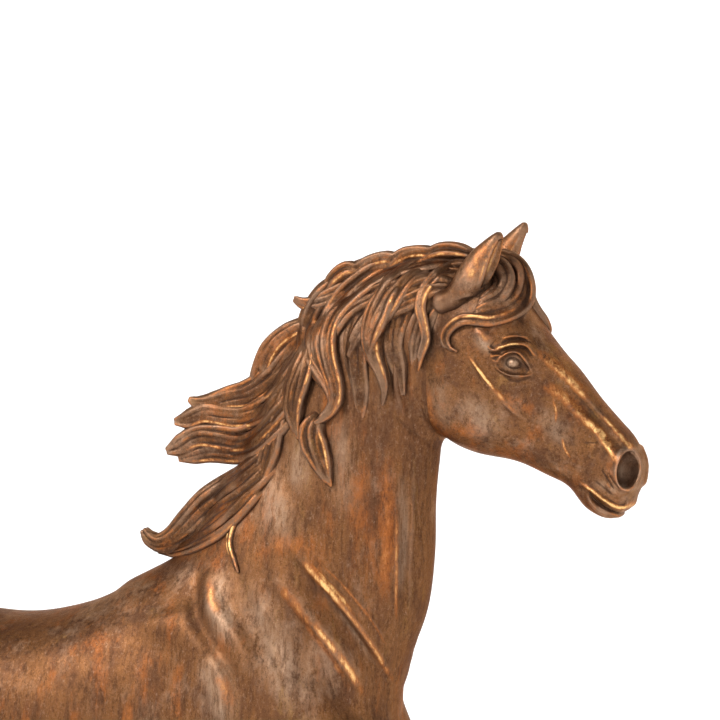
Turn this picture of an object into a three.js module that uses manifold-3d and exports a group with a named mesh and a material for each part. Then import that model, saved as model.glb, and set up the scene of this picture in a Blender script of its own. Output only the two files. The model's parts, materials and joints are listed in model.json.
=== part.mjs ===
// A bronze horse, about 43 cm high, in a proud walk with its right foreleg raised. It stands on
// a cast ground plate over a wooden plinth. The horse is cast in hollow sections that are welded
// together; ears, forelock, mane locks and tail are separate castings welded onto them.
// Frame: +X is the way the horse faces, +Y its left side, +Z up. The origin is the middle of the
// whole outline at table height. Lengths are millimetres.
import * as THREE from 'three';
import { mergeVertices } from 'three/addons/utils/BufferGeometryUtils.js';
import Module from 'manifold-3d';

const wasm = await Module();
wasm.setup();

// ---------------------------------------------------------------- driving dimensions
const GAP = 0.3;            // clearance between pieces that touch
const HAIRLINE = 0.01;      // what is left between the hooves and the plate they stand on
const THROUGH = 1;          // how far a drill runs out beyond the far face
const WALL = 4;             // bronze wall of the hollow castings
const SLEEVE_WALL = 2;      // rings inside the welded seams
const SLEEVE_HALF = 8;      // how far a ring reaches each side of its seam

const PAD_HEIGHT = 2;
const PAD_RADIUS = 9;
const PLINTH_BOTTOM = PAD_HEIGHT + GAP;
const PLINTH_TOP = 13.7;
const PLATE_BOTTOM = PLINTH_TOP + GAP;
const GROUND = 20;          // top of the ground plate, where the hooves stand
const BASE_MIDDLE_X = -45;  // the base is set back under the hooves
const PLINTH = { length: 330, width: 110, corner: 12, bevel: 3 };
const PLATE = { length: 306, width: 88, corner: 30, bevel: 1.5 };

const STUD = { radius: 2.5, top: 33, bottom: 3.5 };
const WASHER = { radius: 5.5, height: 1 };
const NUT = { radius: 4.6, height: 4 };
const COUNTERBORE = { radius: 6.5, top: 9.5 };
const SCREW = { radius: 1.8, headRadius: 3.8, headHeight: 2.2, length: 13, sunk: 1 };
const SCREW_SPOTS = { x: 130, y: 10 };   // from the middle of the base
const PAD_SPOTS = { x: 146, y: 38 };

// A section of a limb, neck, head or trunk is an ellipse. It is given by two opposite points of
// its outline in the side view, [x, z] each, its half width and its distance to the left.
const TRUNK = [
  [[-164, 250], [-158, 218], 18, 0],
  [[-152, 268], [-153, 200], 34, 0],
  [[-130, 280], [-134, 188], 42, 0],
  [[-106, 279], [-104, 187], 45, 0],
  [[-80, 272.5], [-76, 190], 44, 0],
  [[-50, 270.5], [-50, 182], 45, 0],
  [[-22, 276], [-20, 173], 46, 0],
  [[2, 285.5], [10, 167], 44, 0],
  [[22, 288], [42, 163], 41, 0],
  [[45, 285], [72, 164], 37, 0],
  [[78, 268], [98, 176], 33, 0],
  [[103, 246], [114, 196], 24, 0],
  [[112, 232], [117, 212], 13, 0],
];
const NECK = [
  [[0, 284], [112, 236], 36, 0],
  [[24, 302], [116, 256], 31, 0],
  [[38, 320], [124, 279], 27, 0],
  [[50, 343], [127, 301], 23.5, 0],
  [[60, 363], [127.5, 321], 20.5, 0],
  [[70, 381], [129, 337], 18.5, 0],
  [[88, 400], [131, 347], 17, 0],
  [[111, 414], [140, 356], 16, 0],
  [[130, 417], [152, 372], 14, 0],
];
const HEAD = [
  [[148, 419], [133, 399], 13, 0],
  [[158.5, 411.5], [129, 384], 18, 0],
  [[169.3, 397.5], [128, 366], 21, 0],
  [[180, 384.2], [134, 349.6], 19.5, 0],
  [[187.8, 376], [145, 343], 16.5, 0],
  [[195.8, 366], [162.6, 339.6], 12.5, 0],
  [[204.4, 356.6], [175, 334.6], 11, 0],
  [[210, 350.4], [184, 330.4], 11.2, 0],
  [[214.4, 341], [191, 322.4], 11, 0],
  [[214.4, 333.6], [198.6, 318.4], 9.4, 0],
  [[212.2, 327.5], [204.6, 318.6], 6.2, 0],
];
const LEFT_FORE = [
  [[42, 278], [10, 268], 8, 24],
  [[84, 252], [26, 238], 13, 27],
  [[113, 216], [38, 204], 15, 27],
  [[101, 186], [48, 178], 15, 29],
  [[84, 150], [57, 146], 12.5, 29],
  [[79, 118], [63, 117], 10, 28],
  [[82, 104], [63, 101], 10.5, 28],
  [[78, 90], [65, 89], 8.2, 28],
  [[76, 70], [65, 70], 6.5, 27.5],
  [[79, 52], [62, 51], 8, 27],
  [[81, 43], [67, 39], 6.8, 27],
  [[87, 35], [68, 30], 9, 27],
  [[94, GROUND], [69, GROUND], 10.5, 27],
];
const RIGHT_FORE = [
  [[42, 278], [10, 268], 8, -24],
  [[84, 252], [26, 238], 13, -27],
  [[114, 218], [38, 204], 15, -27],
  [[104, 190], [50, 170], 15, -29],
  [[106, 160], [86, 136], 12.5, -31],
  [[121, 142], [107, 126], 10, -31],
  [[135, 128], [115, 119], 10.5, -31],
  [[128, 109], [110, 114], 8.5, -31],
  [[120, 95], [108, 99], 6.5, -30.5],
  [[116, 79], [99, 84], 8, -30],
  [[105, 69], [95, 79], 6.8, -30],
  [[100, 62], [87, 76], 9, -30],
  [[93, 51], [77, 71], 10.5, -30],
];
const LEFT_HIND = [
  [[-82, 268], [-140, 262], 12, 26],
  [[-72, 232], [-163, 236], 19, 27],
  [[-68, 200], [-158, 204], 20, 28],
  [[-72, 172], [-141, 178], 17, 31],
  [[-93, 146], [-134, 146], 13.5, 31],
  [[-112, 122], [-137, 122], 9.5, 30],
  [[-117, 107], [-142, 113], 10, 30],
  [[-115, 95], [-134, 97], 8.2, 30],
  [[-110, 72], [-123, 73], 7, 29],
  [[-101, 47], [-121, 44], 8.5, 28],
  [[-97, 39], [-113, 34], 7, 28],
  [[-90, 34], [-111, 29], 9.2, 28],
  [[-83, GROUND], [-109, GROUND], 10.5, 28],
];
const RIGHT_HIND = [
  [[-82, 268], [-140, 262], 12, -26],
  [[-74, 230], [-164, 238], 19, -27],
  [[-76, 198], [-163, 210], 20, -28],
  [[-84, 166], [-152, 188], 17, -31],
  [[-117, 136], [-140, 164], 13.5, -31],
  [[-144, 126], [-158, 146], 9.5, -30],
  [[-147, 119], [-171, 131], 10, -30],
  [[-152, 109], [-170, 114], 8.2, -30],
  [[-163, 84], [-175, 88], 7, -29],
  [[-167, 59], [-186, 63], 8.5, -28],
  [[-166, 52], [-181, 48], 7, -28],
  [[-160, 44], [-181, 38], 9.2, -28],
  [[-154, GROUND], [-178, 27], 10, -28],
];
const TAIL = [
  [[-143, 277], [-146, 263], 7, 0],
  [[-160, 283], [-158, 264], 9, 0],
  [[-184, 276], [-172, 258], 11, 1],
  [[-205, 252], [-185, 242], 13, 2],
  [[-215, 220], [-189, 214], 14, 3],
  [[-218, 182], [-190, 178], 13, 3],
  [[-214, 145], [-191, 142], 10, 2],
  [[-206, 115], [-193, 113], 6, 0],
  [[-199, 99], [-197, 98], 1.5, -1],
];

// The seams: a point on the cut and the direction from the body side to the other side.
const NECK_SEAM = { at: [75, 0, 289], facing: [0.44, 0, 0.9] };
const HEAD_SEAM = { at: [129, 0, 384], facing: [1, 0, 0.05] };
const LEGS = {
  left_foreleg: { sections: LEFT_FORE, at: [72, 29, 162], facing: [-0.05, 0, -1] },
  right_foreleg: { sections: RIGHT_FORE, at: [88, -30, 158], facing: [0.75, 0, -0.66] },
  left_hind_leg: { sections: LEFT_HIND, at: [-109, 31, 157], facing: [-0.42, 0, -0.9] },
  right_hind_leg: { sections: RIGHT_HIND, at: [-124, -31, 155], facing: [-0.75, 0, -0.66] },
};
const STANDING_HOOVES = {
  left_fore: [80, 27],
  left_hind: [-98, 28],
  right_hind: [-163, -28],
};

// The peg on the tail that enters the body's wall.
const PEG = { radius: 3, from: [-140, 0, 268], to: [-162, 0, 272], sides: 12 };

// Hair: each lock runs along its points and is `width` wide and `thick` deep at its fullest.
// It leaves the mane at `start` of a half wave and ends at `start + run`, blunt to `tip`.
const LOCK_FORM = { start: 0.18, run: 0.8, power: 0.7, tip: 0.12, sides: 8 };
const LOCKS = {
  mane_crest: {
    width: 22, thick: 15,
    path: [[146, 0, 419], [132, 0, 417], [112, 0, 415], [94, 0, 408], [80, 0, 395],
      [66, 0, 377], [56, 0, 356], [44, 0, 333]],
  },
  mane_lock_behind_ear: {
    width: 9, thick: 8,
    path: [[138, -8, 416], [128, -12, 411], [127, -16, 402], [130, -17, 393], [128, -18, 381]],
  },
  mane_lock_middle: {
    width: 12, thick: 8,
    path: [[116, -11, 410], [106, -15, 399], [106, -18, 388], [111, -19, 377], [112, -19, 364]],
  },
  mane_lock_rear: {
    width: 13, thick: 9,
    path: [[97, -6, 407], [86, -8, 398], [86, -14, 386], [88, -18, 376], [92, -21, 366],
      [92, -21, 358]],
  },
  mane_lock_curl: {
    width: 9, thick: 7,
    path: [[79, -5, 398], [72, -8, 389], [76, -12, 382], [83, -17, 373], [85, -20, 362],
      [81, -21, 352]],
  },
  mane_lock_leaf: {
    width: 12, thick: 8,
    path: [[72, -8, 384], [69, -13, 373], [68, -16, 362], [71, -19, 353], [78, -22, 346]],
  },
  mane_lock_tip: {
    width: 7, thick: 6,
    path: [[79, -21, 350], [80, -23, 345], [86, -24, 339], [92, -25, 332]],
  },
  mane_wisp_top: {
    width: 6, thick: 5,
    path: [[88, -4, 411], [80, -4, 404], [71, -4, 402]],
  },
  mane_tuft_upper: {
    width: 18, thick: 9,
    path: [[70, -4, 389], [57, -6, 376], [44, -5, 367], [33, -4, 362], [24, -3, 360]],
  },
  mane_tuft_middle: {
    width: 15, thick: 9,
    path: [[64, -9, 370], [52, -9, 361], [38, -7, 355], [26, -5, 352], [17, -4, 351]],
  },
  mane_tuft_lower: {
    width: 14, thick: 9,
    path: [[60, -12, 356], [50, -12, 349], [38, -8, 344], [26, -6, 341], [15, -5, 338]],
  },
  mane_tail_lock: {
    width: 18, thick: 10,
    path: [[54, -12, 338], [43, -12, 328], [31, -9, 318], [19, -6, 309], [2, -4, 303]],
  },
  mane_wisp_shoulder: {
    width: 4, thick: 4,
    path: [[56, -22, 316], [49, -22, 311], [50, -26, 303], [54, -29, 296]],
  },
  far_lock_front: {
    width: 13, thick: 8,
    path: [[128, 10, 416], [117, 15, 405], [114, 18, 392], [118, 18, 380], [117, 18, 368]],
  },
  far_lock_middle: {
    width: 15, thick: 8,
    path: [[104, 8, 411], [93, 14, 398], [90, 18, 384], [95, 21, 370], [92, 22, 354]],
  },
  far_lock_rear: {
    width: 15, thick: 8,
    path: [[82, 7, 396], [72, 13, 382], [66, 18, 366], [69, 22, 351], [76, 24, 338]],
  },
  far_tuft: {
    width: 16, thick: 8,
    path: [[62, 8, 364], [50, 12, 350], [40, 12, 337], [28, 9, 327], [14, 7, 322]],
  },
  forelock: {
    width: 13, thick: 8,
    path: [[143, 0, 422], [157, -1, 420], [168, -6, 409], [166, -14, 401], [155, -21, 397],
      [143, -20, 393], [141, -21, 387]],
  },
};

const EAR = { side: 14, sections: [
  [[150, 401], [139, 404], 6],
  [[154, 410], [141, 413], 6.5],
  [[159, 420], [148, 422], 5.5],
  [[161.5, 428], [156, 430], 2.6],
  [[162, 432], [161, 432.4], 0.6],
] };
const EAR_CUP = { side: 15.4, sections: [
  [[158, 408], [150, 409], 2],
  [[164, 418], [154, 419], 3.2],
  [[166, 427], [160, 428], 1.5],
] };

// ---------------------------------------------------------------- finishes
const FINISH = {
  bronze: { color: 0x7a5434, roughness: 0.42, metalness: 0.85 },
  steel: { color: 0x9a9a98, roughness: 0.35, metalness: 1 },
  plinth: { color: 0x2e1c12, roughness: 0.4, metalness: 0 },
  felt: { color: 0x2a2d28, roughness: 0.95, metalness: 0 },
};

// ---------------------------------------------------------------- solids
/** Turns a closed geometry into a solid that can be joined and cut. */
function solidOf(geometry) {
  const bare = geometry.clone();
  bare.deleteAttribute('normal');
  bare.deleteAttribute('uv');
  const merged = mergeVertices(bare, 1e-4);
  return new wasm.Manifold(new wasm.Mesh({
    numProp: 3,
    vertProperties: new Float32Array(merged.attributes.position.array),
    triVerts: new Uint32Array(merged.index.array),
  }));
}

const join = (solids) => solids.reduce((total, next) => total.add(next));

/** The largest separate body of a solid, which drops the slivers that a cut can leave. */
function largestBody(solid) {
  return solid.decompose().reduce((best, body) => (body.volume() > best.volume() ? body : best));
}

/** Skins a list of rings of points, each with the same number of points, and closes both ends. */
function skin(rings) {
  const sides = rings[0].length;
  const points = [...rings.flat(), centreOf(rings[0]), centreOf(rings.at(-1))];
  const startCentre = points.length - 2;
  const endCentre = points.length - 1;
  const faces = [];
  for (let side = 0; side < sides; side += 1) {
    const next = (side + 1) % sides;
    for (let ring = 0; ring + 1 < rings.length; ring += 1) {
      const here = ring * sides;
      const there = here + sides;
      faces.push(here + side, here + next, there + next);
      faces.push(here + side, there + next, there + side);
    }
    const last = (rings.length - 1) * sides;
    faces.push(startCentre, next, side);
    faces.push(endCentre, last + side, last + next);
  }
  const geometry = new THREE.BufferGeometry().setFromPoints(points);
  geometry.setIndex(enclosedVolume(points, faces) < 0 ? faces.reverse() : faces);
  return geometry;
}

function centreOf(points) {
  const sum = points.reduce((total, point) => total.add(point), new THREE.Vector3());
  return sum.divideScalar(points.length);
}

function enclosedVolume(points, faces) {
  const cross = new THREE.Vector3();
  let volume = 0;
  for (let face = 0; face < faces.length; face += 3) {
    const [a, b, c] = [points[faces[face]], points[faces[face + 1]], points[faces[face + 2]]];
    volume += a.dot(cross.crossVectors(b, c)) / 6;
  }
  return volume;
}

/** A limb, neck, head or trunk through its sections; `grow` thickens or thins it all round. */
function limb(sections, grow = 0, sides = 10, steps = 1) {
  const curve = (place) => new THREE.CatmullRomCurve3(sections.map(place), false, 'catmullrom');
  const near = curve(([near, , , offset]) => new THREE.Vector3(near[0], offset ?? 0, near[1]));
  const far = curve(([, far, , offset]) => new THREE.Vector3(far[0], offset ?? 0, far[1]));
  const widths = curve(([, , width]) => new THREE.Vector3(width, 0, 0));
  const count = (sections.length - 1) * steps;
  const rings = [];
  for (let ring = 0; ring <= count; ring += 1) {
    const t = ring / count;
    const top = near.getPoint(t);
    const bottom = far.getPoint(t);
    const middle = top.clone().add(bottom).multiplyScalar(0.5);
    const half = top.clone().sub(bottom).multiplyScalar(0.5);
    half.setLength(Math.max(half.length() + grow, 0.4));
    const halfWidth = Math.max(widths.getPoint(t).x + grow, 0.4);
    rings.push(ellipse(middle, half, new THREE.Vector3(0, halfWidth, 0), sides));
  }
  return skin(pushEnds(rings, grow));
}

function ellipse(middle, axisA, axisB, sides) {
  return Array.from({ length: sides }, (_, side) => {
    const angle = (side / sides) * Math.PI * 2;
    return middle.clone()
      .addScaledVector(axisA, Math.cos(angle))
      .addScaledVector(axisB, Math.sin(angle));
  });
}

/** Moves the first and last rings outwards along the run, so a grown shape is longer too. */
function pushEnds(rings, distance) {
  const shift = (ring, neighbour) => {
    const away = centreOf(ring).sub(centreOf(neighbour)).setLength(distance);
    return ring.map((point) => point.clone().add(away));
  };
  const first = distance ? shift(rings[0], rings[1]) : rings[0];
  const last = distance ? shift(rings.at(-1), rings.at(-2)) : rings.at(-1);
  return [first, ...rings.slice(1, -1), last];
}

/** A lock of hair: flat, fullest a third of the way along, and pointed at its tip. */
function lock({ path, width, thick }, grow = 0) {
  const { start, run, power, tip, sides } = LOCK_FORM;
  const curve = new THREE.CatmullRomCurve3(path.map((point) => new THREE.Vector3(...point)));
  const count = (path.length - 1) * 2;
  const rings = [];
  for (let ring = 0; ring <= count; ring += 1) {
    const t = ring / count;
    const fullness = Math.max(Math.sin(Math.PI * (start + run * t)) ** power, tip);
    const middle = curve.getPoint(t);
    const along = curve.getTangent(t);
    const outward = outwardAt(middle).projectOnPlane(along).normalize();
    const across = new THREE.Vector3().crossVectors(along, outward);
    across.setLength((width / 2) * fullness + grow);
    outward.setLength((thick / 2) * fullness + grow);
    rings.push(ellipse(middle, across, outward, sides));
  }
  return skin(pushEnds(rings, grow));
}

/** The way a lock faces: up where it lies on the crest, more and more sideways down the neck. */
function outwardAt(point) {
  const crestWidth = 6;
  return new THREE.Vector3(0, point.y, crestWidth).normalize();
}

/** Everything on the far side of a cut, moved on by `shift`. */
function beyond({ at, facing }, shift) {
  const reach = 900;
  const box = new THREE.BoxGeometry(reach, reach, reach);
  const direction = new THREE.Vector3(...facing).normalize();
  const turn = new THREE.Quaternion().setFromUnitVectors(new THREE.Vector3(0, 0, 1), direction);
  const middle = new THREE.Vector3(...at).addScaledVector(direction, reach / 2 + shift);
  box.applyMatrix4(new THREE.Matrix4().compose(middle, turn, new THREE.Vector3(1, 1, 1)));
  return solidOf(box);
}

/** An upright round bar or disc. */
function disc(radius, bottom, top, [x, y], sides = 16) {
  const geometry = new THREE.CylinderGeometry(radius, radius, top - bottom, sides);
  geometry.rotateX(Math.PI / 2);
  geometry.translate(x, y, (bottom + top) / 2);
  return solidOf(geometry);
}

/** A flat plate with rounded corners and bevelled edges. */
function slab({ length, width, corner, bevel }, bottom, top) {
  const [right, back] = [length / 2 - bevel, width / 2 - bevel];
  const outline = new THREE.Shape();
  outline.moveTo(-right + corner, -back);
  outline.lineTo(right - corner, -back);
  outline.absarc(right - corner, -back + corner, corner, -Math.PI / 2, 0);
  outline.absarc(right - corner, back - corner, corner, 0, Math.PI / 2);
  outline.absarc(-right + corner, back - corner, corner, Math.PI / 2, Math.PI);
  outline.absarc(-right + corner, -back + corner, corner, Math.PI, Math.PI * 1.5);
  const geometry = new THREE.ExtrudeGeometry(outline, {
    depth: top - bottom - 2 * bevel,
    bevelThickness: bevel,
    bevelSize: bevel,
    bevelSegments: 1,
    curveSegments: 5,
  });
  geometry.translate(BASE_MIDDLE_X, 0, bottom + bevel);
  return solidOf(geometry);
}

// ---------------------------------------------------------------- the sculpture
const legList = Object.values(LEGS);
const trunkOuter = solidOf(limb(TRUNK, 0, 18));
const neckOuter = solidOf(limb(NECK, 0, 16));
const headOuter = solidOf(limb(HEAD, 0, 14));
const tailOuter = solidOf(limb(TAIL, 0, 10));

/** The hollow inside: the trunk, neck and head, and the legs down to where they get thin. */
function castingCore() {
  const upperLegs = legList.map(({ sections }) => solidOf(limb(sections.slice(1, 6), -WALL, 8)));
  return join([
    solidOf(limb(TRUNK, -WALL, 12)),
    solidOf(limb(NECK, -WALL, 12)),
    solidOf(limb(HEAD.slice(0, 9), -WALL, 10)),
    ...upperLegs,
  ]);
}

const legOuters = legList.map(({ sections }) => solidOf(limb(sections)));
const core = castingCore();
const horse = join([trunkOuter, neckOuter, headOuter, ...legOuters]);
const shell = horse.subtract(core);

/** One leg: its own outline below its cut, hollow above, drilled for its stud. */
function legCasting({ sections, at, facing }, studAt) {
  const outline = solidOf(limb(sections)).intersect(beyond({ at, facing }, GAP / 2));
  const hollow = outline.subtract(core);
  return studAt ? hollow.subtract(disc(STUD.radius + GAP, 0, STUD.top + GAP, studAt)) : hollow;
}

/** What the legs take out of the body, with clearance. */
const legRoom = join(legList.map(({ sections, at, facing }) => (
  solidOf(limb(sections, GAP)).intersect(beyond({ at, facing }, -GAP / 2)))));

/** The peg on the tail that enters the body's wall, or the hole for it. */
function tailPeg(grow) {
  const from = new THREE.Vector3(...PEG.from);
  const to = new THREE.Vector3(...PEG.to);
  const along = to.clone().sub(from);
  const geometry = new THREE.CylinderGeometry(
    PEG.radius + grow, PEG.radius + grow, along.length() + 2 * grow, PEG.sides);
  const turn = new THREE.Quaternion()
    .setFromUnitVectors(new THREE.Vector3(0, 1, 0), along.normalize());
  const middle = from.add(to).multiplyScalar(0.5);
  geometry.applyMatrix4(new THREE.Matrix4().compose(middle, turn, new THREE.Vector3(1, 1, 1)));
  return solidOf(geometry);
}

const castings = {
  body_casting: shell
    .subtract(beyond(NECK_SEAM, -GAP / 2))
    .subtract(legRoom)
    .subtract(tailPeg(GAP)),
  neck_casting: shell
    .intersect(beyond(NECK_SEAM, GAP / 2))
    .subtract(beyond(HEAD_SEAM, -GAP / 2)),
  head_casting: shell.intersect(beyond(HEAD_SEAM, GAP / 2)),
  left_foreleg: legCasting(LEGS.left_foreleg, STANDING_HOOVES.left_fore),
  right_foreleg: legCasting(LEGS.right_foreleg),
  left_hind_leg: legCasting(LEGS.left_hind_leg, STANDING_HOOVES.left_hind),
  right_hind_leg: legCasting(LEGS.right_hind_leg, STANDING_HOOVES.right_hind),
};

/** A ring that lines the inside of a welded seam. */
function seamSleeve(sections, seam) {
  const ring = solidOf(limb(sections, -WALL - GAP, 12))
    .subtract(solidOf(limb(sections, -WALL - GAP - SLEEVE_WALL, 12)));
  return ring.intersect(beyond(seam, -SLEEVE_HALF)).subtract(beyond(seam, SLEEVE_HALF));
}

castings.neck_joint_sleeve = seamSleeve(NECK, NECK_SEAM);
castings.head_joint_sleeve = seamSleeve(NECK, HEAD_SEAM);

// Pieces welded on the outside are cut back from what is already there.
let occupied = join([
  solidOf(limb(TRUNK, GAP, 18)),
  solidOf(limb(NECK, GAP, 16)),
  solidOf(limb(HEAD, GAP, 14)),
  ...legList.map(({ sections }) => solidOf(limb(sections, GAP))),
]);

/** Adds a piece cut back from its neighbours, and takes its room from the pieces after it. */
function weldOn(name, piece, grown) {
  castings[name] = largestBody(piece.subtract(occupied));
  occupied = occupied.add(grown);
}

const mirrored = (sections, side) => sections.map(([near, far, width]) => [near, far, width, side]);
for (const [name, side] of [['right_ear', -EAR.side], ['left_ear', EAR.side]]) {
  const cupSide = Math.sign(side) * EAR_CUP.side;
  const cup = solidOf(limb(mirrored(EAR_CUP.sections, cupSide), 0, 8));
  const outer = solidOf(limb(mirrored(EAR.sections, side), 0, 10));
  weldOn(name, outer.subtract(cup), solidOf(limb(mirrored(EAR.sections, side), GAP, 10)));
}
for (const [name, shape] of Object.entries(LOCKS)) {
  weldOn(name, solidOf(lock(shape)), solidOf(lock(shape, GAP)));
}
weldOn('tail_casting', tailOuter, solidOf(limb(TAIL, GAP, 10)));
castings.tail_casting = castings.tail_casting.add(tailPeg(0));

// ---------------------------------------------------------------- base and fasteners
const steel = {};
const basePlate = { solid: slab(PLATE, PLATE_BOTTOM, GROUND - HAIRLINE) };
const plinth = { solid: slab(PLINTH, PLINTH_BOTTOM, PLINTH_TOP) };
const drill = (target, tool) => {
  target.solid = target.solid.subtract(tool);
};

/** A stud from the hoof through plate and plinth, held by a washer and nut in a counterbore. */
for (const [name, at] of Object.entries(STANDING_HOOVES)) {
  const washerTop = COUNTERBORE.top - GAP;
  const nutTop = washerTop - WASHER.height - GAP;
  const bore = disc(STUD.radius + GAP, 0, GROUND + THROUGH, at);
  drill(basePlate, bore);
  drill(plinth, bore);
  drill(plinth, disc(COUNTERBORE.radius, 0, COUNTERBORE.top, at));
  steel[`${name}_stud`] = disc(STUD.radius, STUD.bottom, STUD.top, at);
  steel[`${name}_washer`] = disc(WASHER.radius, washerTop - WASHER.height, washerTop, at)
    .subtract(bore);
  steel[`${name}_nut`] = disc(NUT.radius, nutTop - NUT.height, nutTop, at, 6).subtract(bore);
}

/** Screws up through the plinth into the plate, and a felt pad near each corner. */
const felt = {};
for (const [corner, sx, sy] of [
  ['front_left', 1, 1], ['front_right', 1, -1], ['rear_left', -1, 1], ['rear_right', -1, -1],
]) {
  const screwAt = [BASE_MIDDLE_X + sx * SCREW_SPOTS.x, sy * SCREW_SPOTS.y];
  const headBottom = PLINTH_BOTTOM + SCREW.sunk;
  const headTop = headBottom + SCREW.headHeight;
  steel[`plinth_screw_${corner}`] = disc(SCREW.headRadius, headBottom, headTop, screwAt)
    .add(disc(SCREW.radius, headBottom, headBottom + SCREW.length, screwAt));
  drill(plinth, disc(SCREW.headRadius + GAP, 0, headTop + GAP, screwAt));
  drill(plinth, disc(SCREW.radius + GAP, 0, PLATE_BOTTOM + THROUGH, screwAt));
  drill(basePlate, disc(SCREW.radius + GAP, 0, headBottom + SCREW.length + GAP, screwAt));
  const padAt = [BASE_MIDDLE_X + sx * PAD_SPOTS.x, sy * PAD_SPOTS.y];
  felt[`felt_pad_${corner}`] = disc(PAD_RADIUS, 0, PAD_HEIGHT, padAt);
}
castings.ground_plate = basePlate.solid;

// ---------------------------------------------------------------- the assembly
function meshOf(name, solid, finish) {
  const { vertProperties, triVerts } = solid.getMesh();
  const geometry = new THREE.BufferGeometry();
  geometry.setAttribute('position', new THREE.BufferAttribute(vertProperties, 3));
  geometry.setIndex(new THREE.BufferAttribute(triVerts, 1));
  geometry.computeVertexNormals();
  const mesh = new THREE.Mesh(geometry, new THREE.MeshStandardMaterial(finish));
  mesh.name = name;
  return mesh;
}

const statue = new THREE.Group();
const groups = [
  [castings, FINISH.bronze],
  [{ wooden_plinth: plinth.solid }, FINISH.plinth],
  [steel, FINISH.steel],
  [felt, FINISH.felt],
];
for (const [pieces, finish] of groups) {
  const group = new THREE.Group();
  for (const [name, solid] of Object.entries(pieces)) {
    group.add(meshOf(name, solid, finish));
  }
  statue.add(group);
}

export default statue;
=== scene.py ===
"""The looks of the bronze horse statue.

The horse is modelled as one smooth distance field (millimetres, negative inside) built from the
same elliptical sections as the CAD limbs, with muscles, face and folds added as relief. Each
casting is the part of that field on its side of the welded seams. The locks of hair are bundles
of tapering strands. Colour, wear and grain come from node materials that read attributes worked
out on each mesh: `ridge` and `ridge_fine` are above zero on edges and below it in hollows, `gilt`
is where gold is rubbed on, and a further attribute holds where the metal is painted pale, partly
as pale wear and partly as painted highlight. The materials also paint shade into creases and
between parts from ambient occlusion, and paint the broad ridges paler, partly as rubbed high
points and partly as painted highlight.
"""
import json
import math

import bpy
import numpy as np
import openvdb
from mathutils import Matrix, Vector


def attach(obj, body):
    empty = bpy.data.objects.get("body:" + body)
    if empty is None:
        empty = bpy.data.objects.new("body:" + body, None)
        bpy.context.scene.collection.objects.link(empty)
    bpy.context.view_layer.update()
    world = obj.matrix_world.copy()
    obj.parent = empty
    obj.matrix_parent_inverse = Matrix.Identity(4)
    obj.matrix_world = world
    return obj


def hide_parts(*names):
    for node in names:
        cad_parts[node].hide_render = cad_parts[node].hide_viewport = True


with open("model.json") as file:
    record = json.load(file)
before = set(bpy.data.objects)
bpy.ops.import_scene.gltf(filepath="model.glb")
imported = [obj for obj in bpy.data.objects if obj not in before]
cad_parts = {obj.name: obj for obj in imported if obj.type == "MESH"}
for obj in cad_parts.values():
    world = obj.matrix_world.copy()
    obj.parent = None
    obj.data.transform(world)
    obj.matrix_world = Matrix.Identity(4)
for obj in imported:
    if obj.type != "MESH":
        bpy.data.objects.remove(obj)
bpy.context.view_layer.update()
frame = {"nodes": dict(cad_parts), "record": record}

MM = 0.001
COARSER = 1.0        # how much larger the voxels of a draft are
SECTION_STEPS = 8                     # ellipses between two rows of a limb
LINE_STEPS = 6                        # points between two points of a drawn line
OUTSIDE = 1e3                         # field value where nothing is, mm

# ------------------------------------------------------------------ the horse's sections, mm
# Each row holds two opposite outline points in the side view, (x, z) and (x, z), then the half
# width and the distance to the left. They follow the CAD limbs, with rounder ends.
TRUNK = [
    (-167, 240, -165, 230, 7, 0), (-164, 250, -158, 218, 18, 0), (-152, 268, -153, 200, 34, 0),
    (-130, 280, -134, 188, 42, 0), (-106, 279, -104, 187, 45, 0), (-80, 272.5, -76, 190, 44, 0),
    (-50, 270.5, -50, 182, 45, 0), (-22, 276, -20, 173, 46, 0), (2, 285.5, 10, 167, 44, 0),
    (22, 288, 42, 163, 41, 0), (45, 285, 72, 164, 37, 0), (78, 268, 98, 176, 33, 0),
    (103, 246, 114, 196, 24, 0), (112, 232, 117, 212, 13, 0), (116, 226, 118.4, 217, 5, 0),
]
NECK = [
    (0, 284, 112, 236, 36, 0), (24, 302, 116, 256, 31, 0), (38, 320, 124, 279, 27, 0),
    (50, 343, 127, 301, 23.5, 0), (60, 363, 127.5, 321, 20.5, 0), (70, 381, 129, 337, 18.5, 0),
    (88, 400, 131, 347, 17, 0), (111, 414, 140, 356, 16, 0), (130, 417, 152, 372, 14, 0),
]
HEAD = [
    (148, 419, 133, 399, 13, 0), (158.5, 411.5, 129, 384, 18, 0), (169.3, 397.5, 128, 366, 21, 0),
    (180, 384.2, 134, 349.6, 19.5, 0), (187.8, 376, 145, 343, 16.5, 0),
    (195.8, 366, 162.6, 339.6, 12.5, 0), (204.4, 356.6, 175, 334.6, 11, 0),
    (210, 350.4, 184, 330.4, 11.2, 0), (214.4, 341, 191, 322.4, 11, 0),
    (213.6, 333.6, 198.6, 318.4, 9.4, 0), (211.2, 327.5, 204.6, 318.6, 6.2, 0),
]
LEFT_FORE = [
    (42, 278, 10, 268, 8, 24), (84, 252, 26, 238, 13, 27), (113, 216, 38, 204, 15, 27),
    (101, 186, 48, 178, 15, 29), (84, 150, 57, 146, 12.5, 29), (79, 118, 63, 117, 10, 28),
    (82, 104, 63, 101, 10.5, 28), (78, 90, 65, 89, 8.2, 28), (76, 70, 65, 70, 6.5, 27.5),
    (79, 52, 62, 51, 8, 27), (81, 43, 67, 39, 6.8, 27), (87, 35, 68, 30, 9, 27),
    (94, 20, 69, 20, 10.5, 27),
]
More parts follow.
